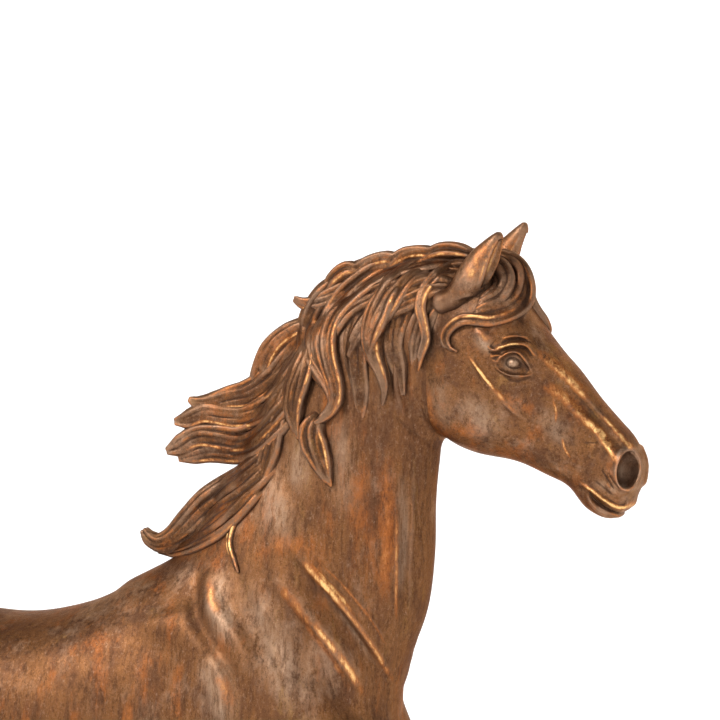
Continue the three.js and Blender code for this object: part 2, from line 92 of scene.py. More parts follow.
RIGHT_FORE = [
    (42, 278, 10, 268, 8, -24), (84, 252, 26, 238, 13, -27), (114, 218, 38, 204, 15, -27),
    (104, 190, 50, 170, 15, -29), (106, 160, 86, 136, 12.5, -31), (121, 142, 107, 126, 10, -31),
    (135, 128, 115, 119, 10.5, -31), (128, 109, 110, 114, 8.5, -31), (120, 95, 108, 99, 6.5, -30.5),
    (116, 79, 99, 84, 8, -30), (105, 69, 95, 79, 6.8, -30), (100, 62, 87, 76, 9, -30),
    (93, 51, 77, 71, 10.5, -30),
]
LEFT_HIND = [
    (-84, 250, -138, 246, 10, 24), (-72, 230, -163, 236, 19, 27), (-68, 200, -158, 204, 20, 28),
    (-72, 172, -141, 178, 17, 31), (-93, 146, -134, 146, 13.5, 31), (-112, 122, -137, 122, 9.5, 30),
    (-117, 107, -142, 113, 10, 30), (-115, 95, -134, 97, 8.2, 30), (-110, 72, -123, 73, 7, 29),
    (-101, 47, -121, 44, 8.5, 28), (-97, 39, -113, 34, 7, 28), (-90, 34, -111, 29, 9.2, 28),
    (-83, 20, -109, 20, 10.5, 28),
]
RIGHT_HIND = [
    (-84, 250, -138, 246, 10, -24), (-74, 228, -164, 238, 19, -27), (-76, 198, -163, 210, 20, -28),
    (-84, 166, -152, 188, 17, -31), (-117, 136, -140, 164, 13.5, -31),
    (-144, 126, -158, 146, 9.5, -30), (-147, 119, -171, 131, 10, -30),
    (-152, 109, -170, 114, 8.2, -30), (-163, 84, -175, 88, 7, -29), (-167, 59, -186, 63, 8.5, -28),
    (-166, 52, -181, 48, 7, -28), (-160, 44, -181, 38, 9.2, -28), (-154, 20, -178, 27, 10, -28),
]
TAIL = [
    (-143, 277, -146, 263, 7, 0), (-160, 283, -158, 264, 9, 0), (-184, 276, -172, 258, 11, 1),
    (-205, 252, -185, 242, 13, 2), (-215, 220, -189, 214, 14, 3), (-218, 182, -190, 178, 13, 3),
    (-214, 145, -191, 142, 10, 2), (-206, 115, -193, 113, 6, 0), (-199, 99, -197, 98, 1.5, -1),
]
NECK_SEAM = ((75, 0, 289), (0.44, 0, 0.9))
HEAD_SEAM = ((129, 0, 384), (1, 0, 0.05))
LEGS = {
    "left_foreleg": (LEFT_FORE, ((72, 29, 162), (-0.05, 0, -1))),
    "right_foreleg": (RIGHT_FORE, ((88, -30, 158), (0.75, 0, -0.66))),
    "left_hind_leg": (LEFT_HIND, ((-109, 31, 157), (-0.42, 0, -0.9))),
    "right_hind_leg": (RIGHT_HIND, ((-124, -31, 155), (-0.75, 0, -0.66))),
}


# ------------------------------------------------------------------ curves and grids
def smooth_rows(rows, steps):
    """Catmull-Rom interpolation of rows of numbers, `steps` to each interval."""
    rows = np.asarray(rows, float)
    padded = np.vstack([2 * rows[0] - rows[1], rows, 2 * rows[-1] - rows[-2]])
    out = []
    for i in range(len(rows) - 1):
        p0, p1, p2, p3 = padded[i:i + 4]
        for t in np.arange(steps) / steps:
            out.append(0.5 * (2 * p1 + (p2 - p0) * t + (2 * p0 - 5 * p1 + 4 * p2 - p3) * t**2
                              + (3 * p1 - p0 - 3 * p2 + p3) * t**3))
    out.append(rows[-1])
    return np.array(out)


class Grid:
    """A box of voxels; all boxes share one lattice, so neighbouring pieces meet exactly."""

    def __init__(self, low, high, voxel):
        self.voxel = voxel * COARSER
        self.first = np.floor(np.asarray(low, float) / self.voxel).astype(int)
        last = np.ceil(np.asarray(high, float) / self.voxel).astype(int)
        self.shape = tuple(last - self.first + 1)
        axes = [(self.first[k] + np.arange(self.shape[k])) * self.voxel for k in range(3)]
        self.axes = [axis.astype(np.float32) for axis in axes]
        self.x = self.axes[0][:, None, None]
        self.y = self.axes[1][None, :, None]
        self.z = self.axes[2][None, None, :]

    def window(self, low, high):
        """Slices of the part of the grid that a box covers, or None."""
        cuts = []
        for k in range(3):
            start = int(np.searchsorted(self.axes[k], low[k]))
            stop = int(np.searchsorted(self.axes[k], high[k]))
            if stop <= start:
                return None
            cuts.append(slice(start, stop))
        return tuple(cuts)

    def touches(self, low, high):
        return self.window(low, high) is not None


def smooth_union(a, b, blend):
    overlap = np.maximum(blend - np.abs(a - b), 0) / blend
    return np.minimum(a, b) - overlap * overlap * (blend / 4)


# ------------------------------------------------------------------ field of a run of ellipses
UNSEEN = 60.0        # distance given to places that no section sees, mm


def section_map(grid, rows):
    """For each place in the side view, the ellipse that stands there.

    u is the place's height on the ellipse's long axis, a and w its half axes, y its middle, and
    along how far the place is beyond the first or last section.
    """
    upper, lower = rows[:, 0:2], rows[:, 2:4]
    middle, half = (upper + lower) / 2, (upper - lower) / 2
    depth = np.linalg.norm(half, axis=1)
    up = half / depth[:, None]
    ahead = np.stack([up[:, 1], -up[:, 0]], axis=1)
    travel = np.gradient(middle, axis=0)
    ahead *= np.sign((ahead * travel).sum(axis=1))[:, None]

    x, z = grid.axes[0][:, None], grid.axes[2][None, :]
    best = np.full((x.size, z.size), np.inf, np.float32)
    found = {name: np.zeros_like(best) for name in ("u", "a", "w", "y", "along")}
    station = [(x - m[0]) * n[0] + (z - m[1]) * n[1] for m, n in zip(middle, ahead)]

    def keep(mask, score, **values):
        better = mask & (score < best)
        best[better] = score[better]
        for name, value in values.items():
            found[name][better] = np.broadcast_to(value, best.shape)[better]

    for i in range(len(rows) - 1):
        here, there = station[i], station[i + 1]
        inside = (here >= 0) & (there < 0)
        t = here / np.where(inside, here - there, 1)
        m = middle[i][:, None, None] * (1 - t) + middle[i + 1][:, None, None] * t
        n = up[i][:, None, None] * (1 - t) + up[i + 1][:, None, None] * t
        u = (x - m[0]) * n[0] + (z - m[1]) * n[1]
        a = depth[i] * (1 - t) + depth[i + 1] * t
        w = rows[i, 4] * (1 - t) + rows[i + 1, 4] * t
        y = rows[i, 5] * (1 - t) + rows[i + 1, 5] * t
        keep(inside, np.abs(u) - a, u=u, a=a, w=w, y=y, along=np.float32(0))
    for i, distance in ((0, -station[0]), (len(rows) - 1, station[-1])):
        u = (x - middle[i][0]) * up[i][0] + (z - middle[i][1]) * up[i][1]
        score = np.hypot(np.maximum(np.abs(u) - depth[i], 0), distance) + 1
        keep(distance >= 0, score, u=u, a=depth[i], w=rows[i, 4], y=rows[i, 5], along=distance)
    unseen = np.isinf(best)
    found["a"][unseen] = found["w"][unseen] = 1
    found["along"][unseen] = UNSEEN
    return [found[name][:, None, :] for name in ("u", "a", "w", "y", "along")]


def limb_field(grid, sections, power=2.0):
    """Distance to the skin through elliptical sections that all stand across the side view."""
    u, a, w, y0, along = section_map(grid, smooth_rows(sections, SECTION_STEPS))
    v = grid.y - y0
    if power == 2.0:
        k0 = np.sqrt((u / a)**2 + (v / w)**2) + 1e-4
        k1 = np.sqrt((u / a**2)**2 + (v / w**2)**2) + 1e-6
        skin = k0 * (k0 - 1) / k1
    else:
        pu, pv = np.abs(u / a), np.abs(v / w)
        k0 = (pu**power + pv**power)**(1 / power) + 1e-4
        slope = k0**(1 - power) * np.sqrt((pu**(power - 1) / a)**2 + (pv**(power - 1) / w)**2)
        skin = (k0 - 1) / (slope + 1e-6)
    reach = np.hypot(np.maximum(skin, 0), along)
    return np.where(along > 0, np.where(skin > 0, reach, np.maximum(skin, along)), skin)


def box_of(sections, margin):
    rows = np.asarray(sections, float)
    xs, zs = rows[:, [0, 2]], rows[:, [1, 3]]
    left, right = (rows[:, 5] - rows[:, 4]).min(), (rows[:, 5] + rows[:, 4]).max()
    return ((xs.min() - margin, left - margin, zs.min() - margin),
            (xs.max() + margin, right + margin, zs.max() + margin))


def ellipsoid_field(grid, centre, radii, tilt=0.0):
    """Distance to an ellipsoid turned by `tilt` degrees in the side view."""
    c, s = math.cos(math.radians(tilt)), math.sin(math.radians(tilt))
    dx, dy, dz = grid.x - centre[0], grid.y - centre[1], grid.z - centre[2]
    px, pz = dx * c + dz * s, dz * c - dx * s
    k0 = np.sqrt((px / radii[0])**2 + (dy / radii[1])**2 + (pz / radii[2])**2) + 1e-4
    k1 = np.sqrt((px / radii[0]**2)**2 + (dy / radii[1]**2)**2 + (pz / radii[2]**2)**2) + 1e-6
    return k0 * (k0 - 1) / k1


# ------------------------------------------------------------------ relief in the side view
BOTH, RIGHT, LEFT = 0, -1, 1
FADE = 0.8                # how a line's height falls towards its ends
SIDE_CHANGE = 6           # width over which the right side's relief gives way to the left's, mm


def stroke_map(grid, path, width, height):
    """Height along a drawn line in the side view: full in its middle, fading to its ends."""
    points = smooth_rows(path, LINE_STEPS)
    x, z = grid.axes[0], grid.axes[2]
    reach = 3 * width
    low, high = points.min(axis=0) - reach, points.max(axis=0) + reach
    xs = slice(*np.searchsorted(x, (low[0], high[0])))
    zs = slice(*np.searchsorted(z, (low[1], high[1])))
    if xs.start >= xs.stop or zs.start >= zs.stop:
        return None
    px, pz = x[xs][:, None], z[zs][None, :]
    nearest = np.full((px.size, pz.size), 1e9, np.float32)
    place = np.zeros_like(nearest)
    for i in range(len(points) - 1):
        (ax, az), (bx, bz) = points[i], points[i + 1]
        length = (bx - ax)**2 + (bz - az)**2 + 1e-9
        t = np.clip(((px - ax) * (bx - ax) + (pz - az) * (bz - az)) / length, 0, 1)
        squared = (px - ax - t * (bx - ax))**2 + (pz - az - t * (bz - az))**2
        closer = squared < nearest
        nearest = np.where(closer, squared, nearest)
        place = np.where(closer, (i + t) / (len(points) - 1), place)
    strength = np.clip(4 * place * (1 - place), 0, 1)**FADE
    return xs, zs, height * strength * np.exp(-nearest / width**2)


def add_relief(grid, field, strokes):
    """Raises or sinks the surface under each stroke, on one side or on both."""
    maps = {side: np.zeros((grid.shape[0], grid.shape[2]), np.float32) for side in (RIGHT, LEFT)}
    for side, path, width, height in strokes:
        drawn = stroke_map(grid, path, width, height)
        if drawn is None:
            continue
        xs, zs, heights = drawn
        for chosen in (RIGHT, LEFT):
            if side in (BOTH, chosen):
                maps[chosen][xs, zs] += heights
    near = np.clip(0.5 - grid.y / SIDE_CHANGE, 0, 1)
    return field - maps[RIGHT][:, None, :] * near - maps[LEFT][:, None, :] * (1 - near)


# ------------------------------------------------------------------ anatomy
# A stroke is (points (x, z), width, height): a height below zero is a groove.
FACE = [
    ([(150, 392.6), (154, 390.8), (158.5, 387.6)], 2.6, 1.7),  # brow
    ([(149, 382), (152.3, 378), (155.6, 373.4), (158.6, 370)], 0.9, 1.1),  # facial crest
    ([(156.5, 372), (161.6, 366.5), (164.5, 362.5), (168, 359.4), (173, 355.6)], 1.7, 1.2),
    ([(146.5, 380), (150, 374.5), (154, 369), (160, 362.5), (167, 356)], 2.2, -0.7),
    ([(154, 382), (158, 375), (163, 369), (169, 363)], 3, -0.8),
    # nose bone
    ([(172, 386.6), (180.8, 378.6), (188.2, 371.2), (197, 361.4), (204, 354.4), (209, 349), (212.6, 345)],
      1.5, 0.9),
    ([(178, 377), (186, 369), (194, 361), (201, 353.5), (207.5, 347)], 2.4, -0.9),
    # cheek cord
    ([(180, 369.6), (185.6, 365.6), (190, 360.4), (196.3, 356), (200.2, 349.4), (205, 345), (208, 340)],
      1.5, 1),
    ([(174, 354), (180, 352.6), (186, 348.4), (191, 342.4), (193, 336.6)], 1.6, 0.5),
    ([(184, 360), (193, 350.5), (200, 343.5), (205, 337)], 2.4, -0.8),
    ([(174, 349), (184, 344), (194, 337.5)], 3, 0.5),
    ([(191.5, 348.9), (195.2, 348.4), (199, 348.9)], 0.5, -0.5),
    ([(202.9, 337), (205.9, 333.4), (207.6, 331)], 0.55, -0.7),
    ([(200.2, 338.6), (203.3, 334), (205.8, 330.2)], 0.55, -0.6),
    ([(181, 367), (182.3, 361), (182, 355.7)], 0.55, 0.4),
    ([(184, 351), (185.5, 346), (188, 341)], 0.55, 0.4),
    ([(128.5, 372), (128, 362), (131, 354), (137, 348), (146, 344.5), (158, 342.5)], 3, 0.5),
]
LIPS = [
    ([(189.5, 333.8), (193.5, 331.6), (198, 328.9), (202.3, 325.8), (205.7, 323.7), (208, 323.2),
      (209.6, 324.2), (210.4, 326.4)], 0.9, 1.3),
    ([(194.8, 329.4), (196.6, 326.6), (199, 324.4), (203, 322), (207, 320.4), (209.6, 320.6)], 0.75, -1.9),
    ([(193.8, 329), (195.4, 325), (198.2, 321.6), (202, 319.4)], 0.7, 0.9),
    ([(196, 335), (201, 331.4), (205.6, 327.6)], 1.1, -0.6),
    ([(203, 328.4), (207, 326), (210, 326.4)], 1.2, 0.5),
]
EYE = (165.9, 379.5)
EYELIDS = [
    ([(161.6, 379.6), (165.8, 379.8), (170, 378.2), (172.4, 376.6)], 2.1, -1.5),  # opening
    # upper lid
    ([(159, 378.8), (161.8, 381.9), (165.4, 384), (168.8, 383.6), (171.2, 380.6), (174, 375)], 0.7, 1.7),
    ([(159, 378.8), (162, 376.4), (166, 374.9), (170, 374.8), (174, 375)], 0.6, 1.2),  # lower lid
    # fold above
    ([(157.6, 384.2), (160.4, 385.3), (164.4, 386.9), (168.6, 387.2), (171.4, 386.2), (173.4, 383.8),
      (175, 381.4)], 0.8, 1.5),
    ([(160.4, 383.4), (163.6, 385.3), (167.6, 385.8), (171, 384.8), (173, 382.2)], 0.45, -0.6),
    ([(161.6, 389), (165, 390.2), (168.6, 390), (171, 388.8)], 0.6, 0.8),
    ([(161.4, 387.6), (165, 388.7), (169, 388.6), (172, 387)], 0.5, -0.7),
    ([(156.4, 386.6), (158.2, 385), (161, 384.6)], 0.5, 0.7),
    ([(157.4, 382), (159.6, 382.6), (162, 382.8)], 0.5, 0.7),
    ([(156.6, 384), (159, 383.4), (161.6, 383.6)], 0.4, -0.6),
    ([(157.8, 380.4), (159.6, 380.4), (161.4, 379.6)], 0.45, 0.5),
    ([(162.6, 375.6), (166.6, 373.8), (171, 374.4), (174, 376)], 0.5, 0.5),
    ([(162, 374.4), (166.6, 372.4), (172, 373)], 0.9, -0.4),
]
NECK_FOLDS = [
    ([(121.5, 350), (120.2, 335), (119.8, 318), (119.4, 300), (118.6, 280), (116.5, 260)], 1.4, -1.3),
    ([(117.4, 337), (117.2, 318), (117.4, 298), (117, 280), (115.4, 264)], 0.9, 0.6),
    ([(122.6, 342), (122.6, 322), (122, 300), (120.6, 278)], 0.9, 0.5),
    ([(112, 352), (111, 325), (111.5, 300), (112, 272)], 5, 0.8),
    ([(116, 358), (119.5, 354), (123.5, 350), (129, 346)], 1, -0.9),
    ([(123.5, 391), (121.5, 380), (121, 368), (122.5, 358), (127, 350)], 1.7, -1.2),
    ([(118, 390), (117, 378), (117.4, 367), (120, 357)], 1.2, 0.9),
    ([(115.2, 387), (114.8, 376), (115.6, 364)], 0.8, -0.7),
    ([(113, 384), (112.4, 373), (113.4, 362)], 1, 0.6),
    ([(125, 399), (122.4, 392), (123, 384)], 1.6, 0.7),
    ([(100, 372), (98, 350), (100, 330)], 7, 0.7),
    ([(104, 384), (102.6, 370), (103.6, 356)], 2.6, -1.3),
    ([(118.6, 400), (117.8, 388), (119, 376), (118.4, 364)], 2, -1.2),
    ([(110, 390), (109.6, 378), (110.6, 366), (109.4, 354)], 1.6, 0.8),
    ([(96, 366), (95, 354), (96, 342)], 2.4, -0.9),
    ([(72, 348), (71, 334), (76, 320)], 4, -1),
]
FAR_NECK_FOLDS = [
    ([(121, 350), (120, 330), (119, 300), (118, 265)], 1.6, -1.3),
    ([(117, 337), (117, 300), (116, 266)], 1.1, 0.5),
] + [NECK_FOLDS[k] for k in (3, 5, 6)]
SHOULDER_FOLDS = [
    ([(78, 303), (86, 295), (94, 287), (101, 278.5), (106.5, 270), (111, 259), (114.5, 246)], 2.6, 1.9),
    ([(80, 306), (90, 299), (99.4, 289), (106.8, 279.6), (111.8, 270), (115.4, 256)], 0.8, 0.6),
    ([(84, 299.6), (93, 291.6), (100.6, 282.6), (107, 272.6), (112, 261)], 0.8, -0.5),
    ([(98, 292), (107.7, 279), (113.7, 266), (117, 252)], 0.8, 0.4),
    ([(70, 303), (79, 297), (88, 287), (96.4, 277), (103.4, 266.6), (109.4, 255), (113, 241)], 3, -2.2),
    ([(66, 294), (77, 285), (87, 275.4), (95.6, 264.8), (102.4, 254), (107.6, 240)], 3.6, 2.4),
    ([(85, 281), (95, 269), (102, 259.5), (108, 248)], 0.8, 0.4),
    ([(62, 296), (72, 286), (82, 273), (90, 262), (97, 248), (102, 232)], 4, -1.6),
    ([(41, 295), (42.5, 287), (46, 280), (52, 273.6), (60, 265), (65, 252)], 4, 2.4),
    ([(36, 296), (35.4, 286), (38.6, 276), (46, 266.6), (53.6, 258), (57.6, 248), (58, 232)], 3.2, -2),
    ([(51, 299), (57, 288), (64.5, 276), (71, 265), (78, 250)], 1.6, -0.7),
    ([(68, 282), (78, 270.5), (88, 259)], 4.5, 0.8),
    ([(47, 262), (52, 252), (57, 241), (58, 228)], 4.6, 1.8),
    ([(28, 270), (32, 250), (40, 230), (52, 212)], 5.5, -1),
    ([(22, 262), (20, 245), (24, 226)], 6, 0.7),
]
BODY_FOLDS = [
    ([(48, 222), (58, 205), (72, 192), (88, 186)], 3, -1),
    ([(-62, 262), (-70, 235), (-72, 205), (-84, 180)], 5, -2.2),
    ([(-88, 262), (-95, 240), (-96, 215), (-105, 190)], 9, 1.4),
    ([(-132, 262), (-136, 240), (-138, 215), (-132, 190)], 3.5, -1.5),
    ([(-60, 200), (-40, 190), (-10, 184), (20, 182)], 8, -0.8),
    ([(-30, 268), (-20, 262), (0, 268)], 8, 0.6),
]


def on(side, strokes):
    return [(side, *stroke) for stroke in strokes]


RELIEF = (on(BOTH, FACE + LIPS + EYELIDS) + on(RIGHT, NECK_FOLDS) + on(LEFT, FAR_NECK_FOLDS)
          + on(BOTH, BODY_FOLDS) + on(RIGHT, SHOULDER_FOLDS) + on(LEFT, SHOULDER_FOLDS))
# A line of gold, or of pale patches and painted highlight, is (points (x, z), width, strength).
GILT_FACE = [
    ([(148.6, 382.6), (152.3, 378), (156.6, 372.4), (160, 368)], 0.6, 0.95),
    ([(157, 371.4), (161.6, 366.5), (165, 362.2), (169, 358.8)], 1.2, 0.45),
    ([(150, 392.6), (154, 390.8), (158, 388)], 1.8, 0.45),
    ([(158.4, 384.6), (162, 386), (166, 387), (170, 386.8)], 0.7, 0.9),
    ([(172, 386.6), (180.8, 378.6), (188.2, 371.2), (197, 361.4)], 1.7, 0.62),
    ([(197, 361.4), (204, 354.4), (209, 349), (212.6, 345)], 0.8, 0.75),
    ([(176, 371.4), (183, 368.4), (190, 361.6), (197, 354.4)], 2.4, 0.5),
    ([(190, 361), (194.6, 356.2), (199, 352.8), (204, 345.6), (208.2, 339.5)], 1.5, 0.85),
    ([(190, 333.8), (193.5, 331.6), (198, 328.9), (202.3, 325.8), (205.7, 323.7), (208, 323.2),
      (209.6, 324.2), (210.4, 326.4)], 0.8, 0.95),
    ([(129, 372), (129.5, 362), (133, 353), (141, 347)], 4.5, 0.42),
    ([(136, 352), (146, 352), (156, 352)], 4, 0.3),
    ([(160, 366), (168, 364), (176, 360)], 3.4, 0.3),
    ([(181, 367), (182.3, 361), (182, 355.7)], 0.5, 0.6),
    ([(184.5, 351), (185.6, 346), (188.6, 341.4)], 0.5, 0.6),
]
GILT_BODY = [
    ([(80, 301), (87, 294), (94.4, 286.6), (101, 278)], 1.5, 0.8),
    ([(84, 299.6), (91, 292.6), (98, 285), (104, 276.4)], 0.7, 0.7),
    ([(92, 289), (101, 278.5), (107, 269), (111, 259), (114.5, 246)], 1, 0.55),
    ([(86, 301), (96, 292.5), (103, 284.5), (109, 275.4), (114, 263)], 0.55, 0.5),
    ([(70, 292), (80, 281.6), (90, 270)], 2.4, 0.42),
    ([(84, 279), (92, 269.4), (99, 259.6), (107, 242)], 1.4, 0.72),
    ([(80, 279), (88, 269.6), (95, 259.8), (102, 244)], 1.8, 0.4),
    ([(42, 292), (44.4, 284), (50, 276.6)], 2.4, 0.5),
    ([(50, 256), (54, 248), (57, 239)], 3.4, 0.4),
    ([(113.5, 350), (113.7, 323), (113.3, 300), (112, 276)], 4.6, 0.36),
    ([(104, 345), (103, 325), (104, 304)], 5.5, 0.27),
    ([(117.3, 330), (117.4, 298), (116.6, 272)], 0.6, 0.5),
    ([(66, 303), (76, 306), (88, 303)], 6, 0.34),
    ([(34, 262), (32, 246), (34, 228)], 3, 0.36),
    ([(14, 250), (12, 226), (14, 202)], 3.2, 0.36),
    ([(-8, 244), (-9, 226), (-8, 206)], 2.6, 0.32),
    ([(-30, 246), (-31, 222), (-29, 200)], 2.8, 0.32),
]


def leg_folds(side, sections):
    """Tendon grooves and knee hollows down a leg, drawn between its front and back outlines."""
    rows = np.asarray(sections, float)
    middle = (rows[:, 0:2] + rows[:, 2:4]) / 2
    across = (rows[:, 0:2] - rows[:, 2:4]) / 2
    back = [tuple(middle[i] - 0.35 * across[i]) for i in (7, 8, 9)]
    fore = [tuple(middle[i] + 0.3 * across[i]) for i in (3, 4, 5)]
    knee = [tuple(middle[6] + k * across[6]) for k in (-0.5, 0.0, 0.5)]
    coronet = [tuple(middle[11] + k * across[11]) for k in (-1.0, 0.0, 1.0)]
    return [(side, back, 1.3, -1.1), (side, fore, 2.2, -1.1), (side, knee, 1.5, 0.9),
            (side, coronet, 1.0, 0.9)]


# Lumps on both sides: (centre with its distance from the middle, radii, tilt, blend).
BREAST_AND_RUMP = [
    ((101.5, 13, 221), (13, 13, 21), 10, 5.0),
    ((-122, 22, 238), (29, 21, 31), -20, 7.0),
]
CHEEK_SOCKET_AND_NOSTRIL = [
    ((146, 10.5, 366), (18.5, 9.5, 19), 35, 4.0),
    ((166.5, 12.6, 380), (8, 5.4, 6.6), -18, 2.0),
    ((206.9, 7.0, 338), (6.1, 5.2, 9.2), 8, 2.5),
]
EYEBALL = [((EYE[0], 15.2, EYE[1]), (3.1, 4.1, 2.8), 0, 0.15)]
THIGH_BLEND = (3, 9)             # from the legs' blend to the trunk's, mm
THIGH_HEIGHTS = (150, 210)       # between these heights


def add_lumps(grid, field, lumps):
    for side in (RIGHT, LEFT):
        for (x, y, z), radii, tilt, blend in lumps:
            field = add_lump(grid, field, (x, side * y, z), radii, tilt, blend)
    return field


def horse_field(grid):
    """The whole horse but its ears, hair and tail."""
    field = np.full(grid.shape, OUTSIDE, np.float32)

    def blend_in(sections, blend, power=2.0):
        nonlocal field
        if grid.touches(*box_of(sections, 12)):
            field = smooth_union(field, limb_field(grid, sections, power), blend)

    blend_in(TRUNK, 1.0, 2.2)
    blend_in(NECK, 12.0, 2.1)
    low, high = THIGH_HEIGHTS
    share = np.clip((grid.z - low) / (high - low), 0, 1)
    for sections, _ in LEGS.values():
        blend_in(sections, THIGH_BLEND[0] + (THIGH_BLEND[1] - THIGH_BLEND[0]) * share)
    field = add_lumps(grid, field, BREAST_AND_RUMP)
    blend_in(HEAD, 5.0, 2.35)
    field = add_lumps(grid, field, CHEEK_SOCKET_AND_NOSTRIL)
    field = soften(field)
    field = add_relief(grid, field, RELIEF)
    field = add_lumps(grid, field, EYEBALL)
    for side, sections in ((LEFT, LEFT_FORE), (RIGHT, RIGHT_FORE), (LEFT, LEFT_HIND),
                           (RIGHT, RIGHT_HIND)):
        field = add_relief(grid, field, leg_folds(side, sections))
    return carve_nostrils(grid, field)


def soften(field, rounds=3):
    """Evens out the creases between neighbouring sections."""
    for _ in range(rounds):
        for axis in range(3):
            ahead, behind = np.roll(field, -1, axis), np.roll(field, 1, axis)
            first, last = [slice(None)] * 3, [slice(None)] * 3
            first[axis], last[axis] = 0, -1
            ahead[tuple(last)], behind[tuple(first)] = field[tuple(last)], field[tuple(first)]
            field = 0.5 * field + 0.25 * (ahead + behind)
    return field


def add_lump(grid, field, centre, radii, tilt, blend):
    reach = max(radii) + blend + 4
    centre = np.asarray(centre, float)
    if not grid.touches(centre - reach, centre + reach):
        return field
    return smooth_union(field, ellipsoid_field(grid, centre, radii, tilt), blend)


NOSTRIL = {"at": (211.2, 9.8, 338.4), "across": 4.9, "tall": 7.2, "turn": 36, "lean": -12,
           "deep": 6.0, "edge": 0.4}
NOSTRIL_RIM = {"radius": 1.12, "height": 1.1, "width": 0.75, "reach": 6}
NOSTRIL_BOX = ((200, -22, 322), (225, 22, 352))


def carve_nostrils(grid, field):
    """A deep oval hollow on each side of the muzzle with a thin raised rim."""
    window = grid.window(*NOSTRIL_BOX)
    if window is None:
        return field
    x, y, z = grid.x[window[0]], grid.y[:, window[1]], grid.z[:, :, window[2]]
    local = field[window]
    turn, lean = math.radians(NOSTRIL["turn"]), math.radians(NOSTRIL["lean"])
    rim = NOSTRIL_RIM
    for side in (RIGHT, LEFT):
        dx, dy, dz = x - NOSTRIL["at"][0], side * y - NOSTRIL["at"][1], z - NOSTRIL["at"][2]
        outward = dx * math.sin(turn) + dy * math.cos(turn)
        level = dx * math.cos(turn) - dy * math.sin(turn)
        across = level * math.cos(lean) + dz * math.sin(lean)
        tall = dz * math.cos(lean) - level * math.sin(lean)
        radius = np.sqrt((across / NOSTRIL["across"])**2 + (tall / NOSTRIL["tall"])**2) + 1e-4
        scale = np.hypot(across, tall) / radius
        from_rim = (radius - rim["radius"]) * scale / rim["width"]
        raised = rim["height"] * np.exp(-from_rim**2)
        local = local - raised * (np.abs(outward) < rim["reach"])
        inward = np.minimum(outward, 0) / NOSTRIL["deep"]
        hollow = (np.sqrt(radius**2 + inward**2) - 1) * scale
        local = -smooth_union(-local, hollow, NOSTRIL["edge"])
    field = field.copy()
    field[window] = local
    return field


# ------------------------------------------------------------------ from field to mesh
def plane_field(grid, seam):
    (px, py, pz), facing = seam
    nx, ny, nz = np.asarray(facing, float) / np.linalg.norm(facing)
    return (grid.x - px) * nx + (grid.y - py) * ny + (grid.z - pz) * nz


TUCK = 7.0        # how far a piece runs on under its neighbour, mm
TUCK_SLOPE = 0.15


def keep_before(field, beyond, tuck=TUCK):
    """The side where `beyond` is negative, with a tongue that sinks under the neighbour."""
    return np.maximum(field + TUCK_SLOPE * np.maximum(beyond, 0), beyond - tuck)


def mesh_from(name, grid, field):
    """A closed Blender mesh of the zero surface of a field."""
    band = 3 * grid.voxel
    values = np.ascontiguousarray(np.clip(field, -band, band), dtype=np.float32)
    for axis in range(3):
        for end in (0, -1):
            edge = [slice(None)] * 3
            edge[axis] = end
            values[tuple(edge)] = band
    volume = openvdb.FloatGrid(band)
    volume.copyFromArray(values)
    points, quads = volume.convertToQuads(isovalue=0.0)
    points = (points + grid.first) * grid.voxel
    return new_piece(name, points, largest_island(len(points), quads), grid.voxel)


def largest_island(count, faces):
    """Drops stray specks: keeps the faces joined to most of the mesh."""
    label = np.arange(count)
    while True:
        lowest = label[faces].min(axis=1)
        fresh = label.copy()
        for corner in range(faces.shape[1]):
            np.minimum.at(fresh, faces[:, corner], lowest)
        fresh = fresh[fresh]
        if (fresh == label).all():
            break
        label = fresh
    owner = label[faces[:, 0]]
    names, sizes = np.unique(owner, return_counts=True)
    return faces[owner == names[sizes.argmax()]]


def new_piece(name, points, faces, voxel):
    used = np.unique(faces)
    index = np.zeros(len(points), int)
    index[used] = np.arange(len(used))
    mesh = bpy.data.meshes.new(name)
    mesh.from_pydata((points[used] * MM).tolist(), [], index[faces].tolist())
    mesh.shade_smooth()
    piece = bpy.data.objects.new(name, mesh)
    bpy.context.collection.objects.link(piece)
    add_ridge(mesh, voxel)
    return piece


RIDGE_REACH = {"ridge_fine": 0.7, "ridge": 2.6}        # how far the smoothing spreads, mm
ROUND_SPREAD = 0.4                                     # spread of one round, voxel lengths^2


def add_ridge(mesh, voxel):
    """Stores how far each point stands out of its smoothed surroundings, fine and broad, mm."""
    count = len(mesh.vertices)
    points = np.empty(count * 3)
    mesh.vertices.foreach_get("co", points)
    points = points.reshape(-1, 3) / MM
    edges = np.empty(len(mesh.edges) * 2, int)
    mesh.edges.foreach_get("vertices", edges)
    a, b = edges.reshape(-1, 2).T
    normals = np.empty(count * 3)
    mesh.vertex_normals.foreach_get("vector", normals)
    normals = normals.reshape(-1, 3)
    ends, others = np.concatenate([a, b]), np.concatenate([b, a])
    share = np.bincount(ends, minlength=count)[:, None] + 1
    smooth = points
    done = 0
    for name, reach in RIDGE_REACH.items():
        rounds = max(done + 1, int(round(reach**2 / (ROUND_SPREAD * voxel**2))))
        for _ in range(rounds - done):
            total = np.stack([np.bincount(ends, smooth[others, k], count) for k in range(3)], 1)
            smooth = (smooth + total) / share
        done = rounds
        height = ((points - smooth) * normals).sum(axis=1)
        attribute = mesh.attributes.new(name, "FLOAT", "POINT")
        attribute.data.foreach_set("value", height.astype(np.float32))


RUB_STEPS = 4             # points between two points of a drawn line of gold, pale wear and painted highlight
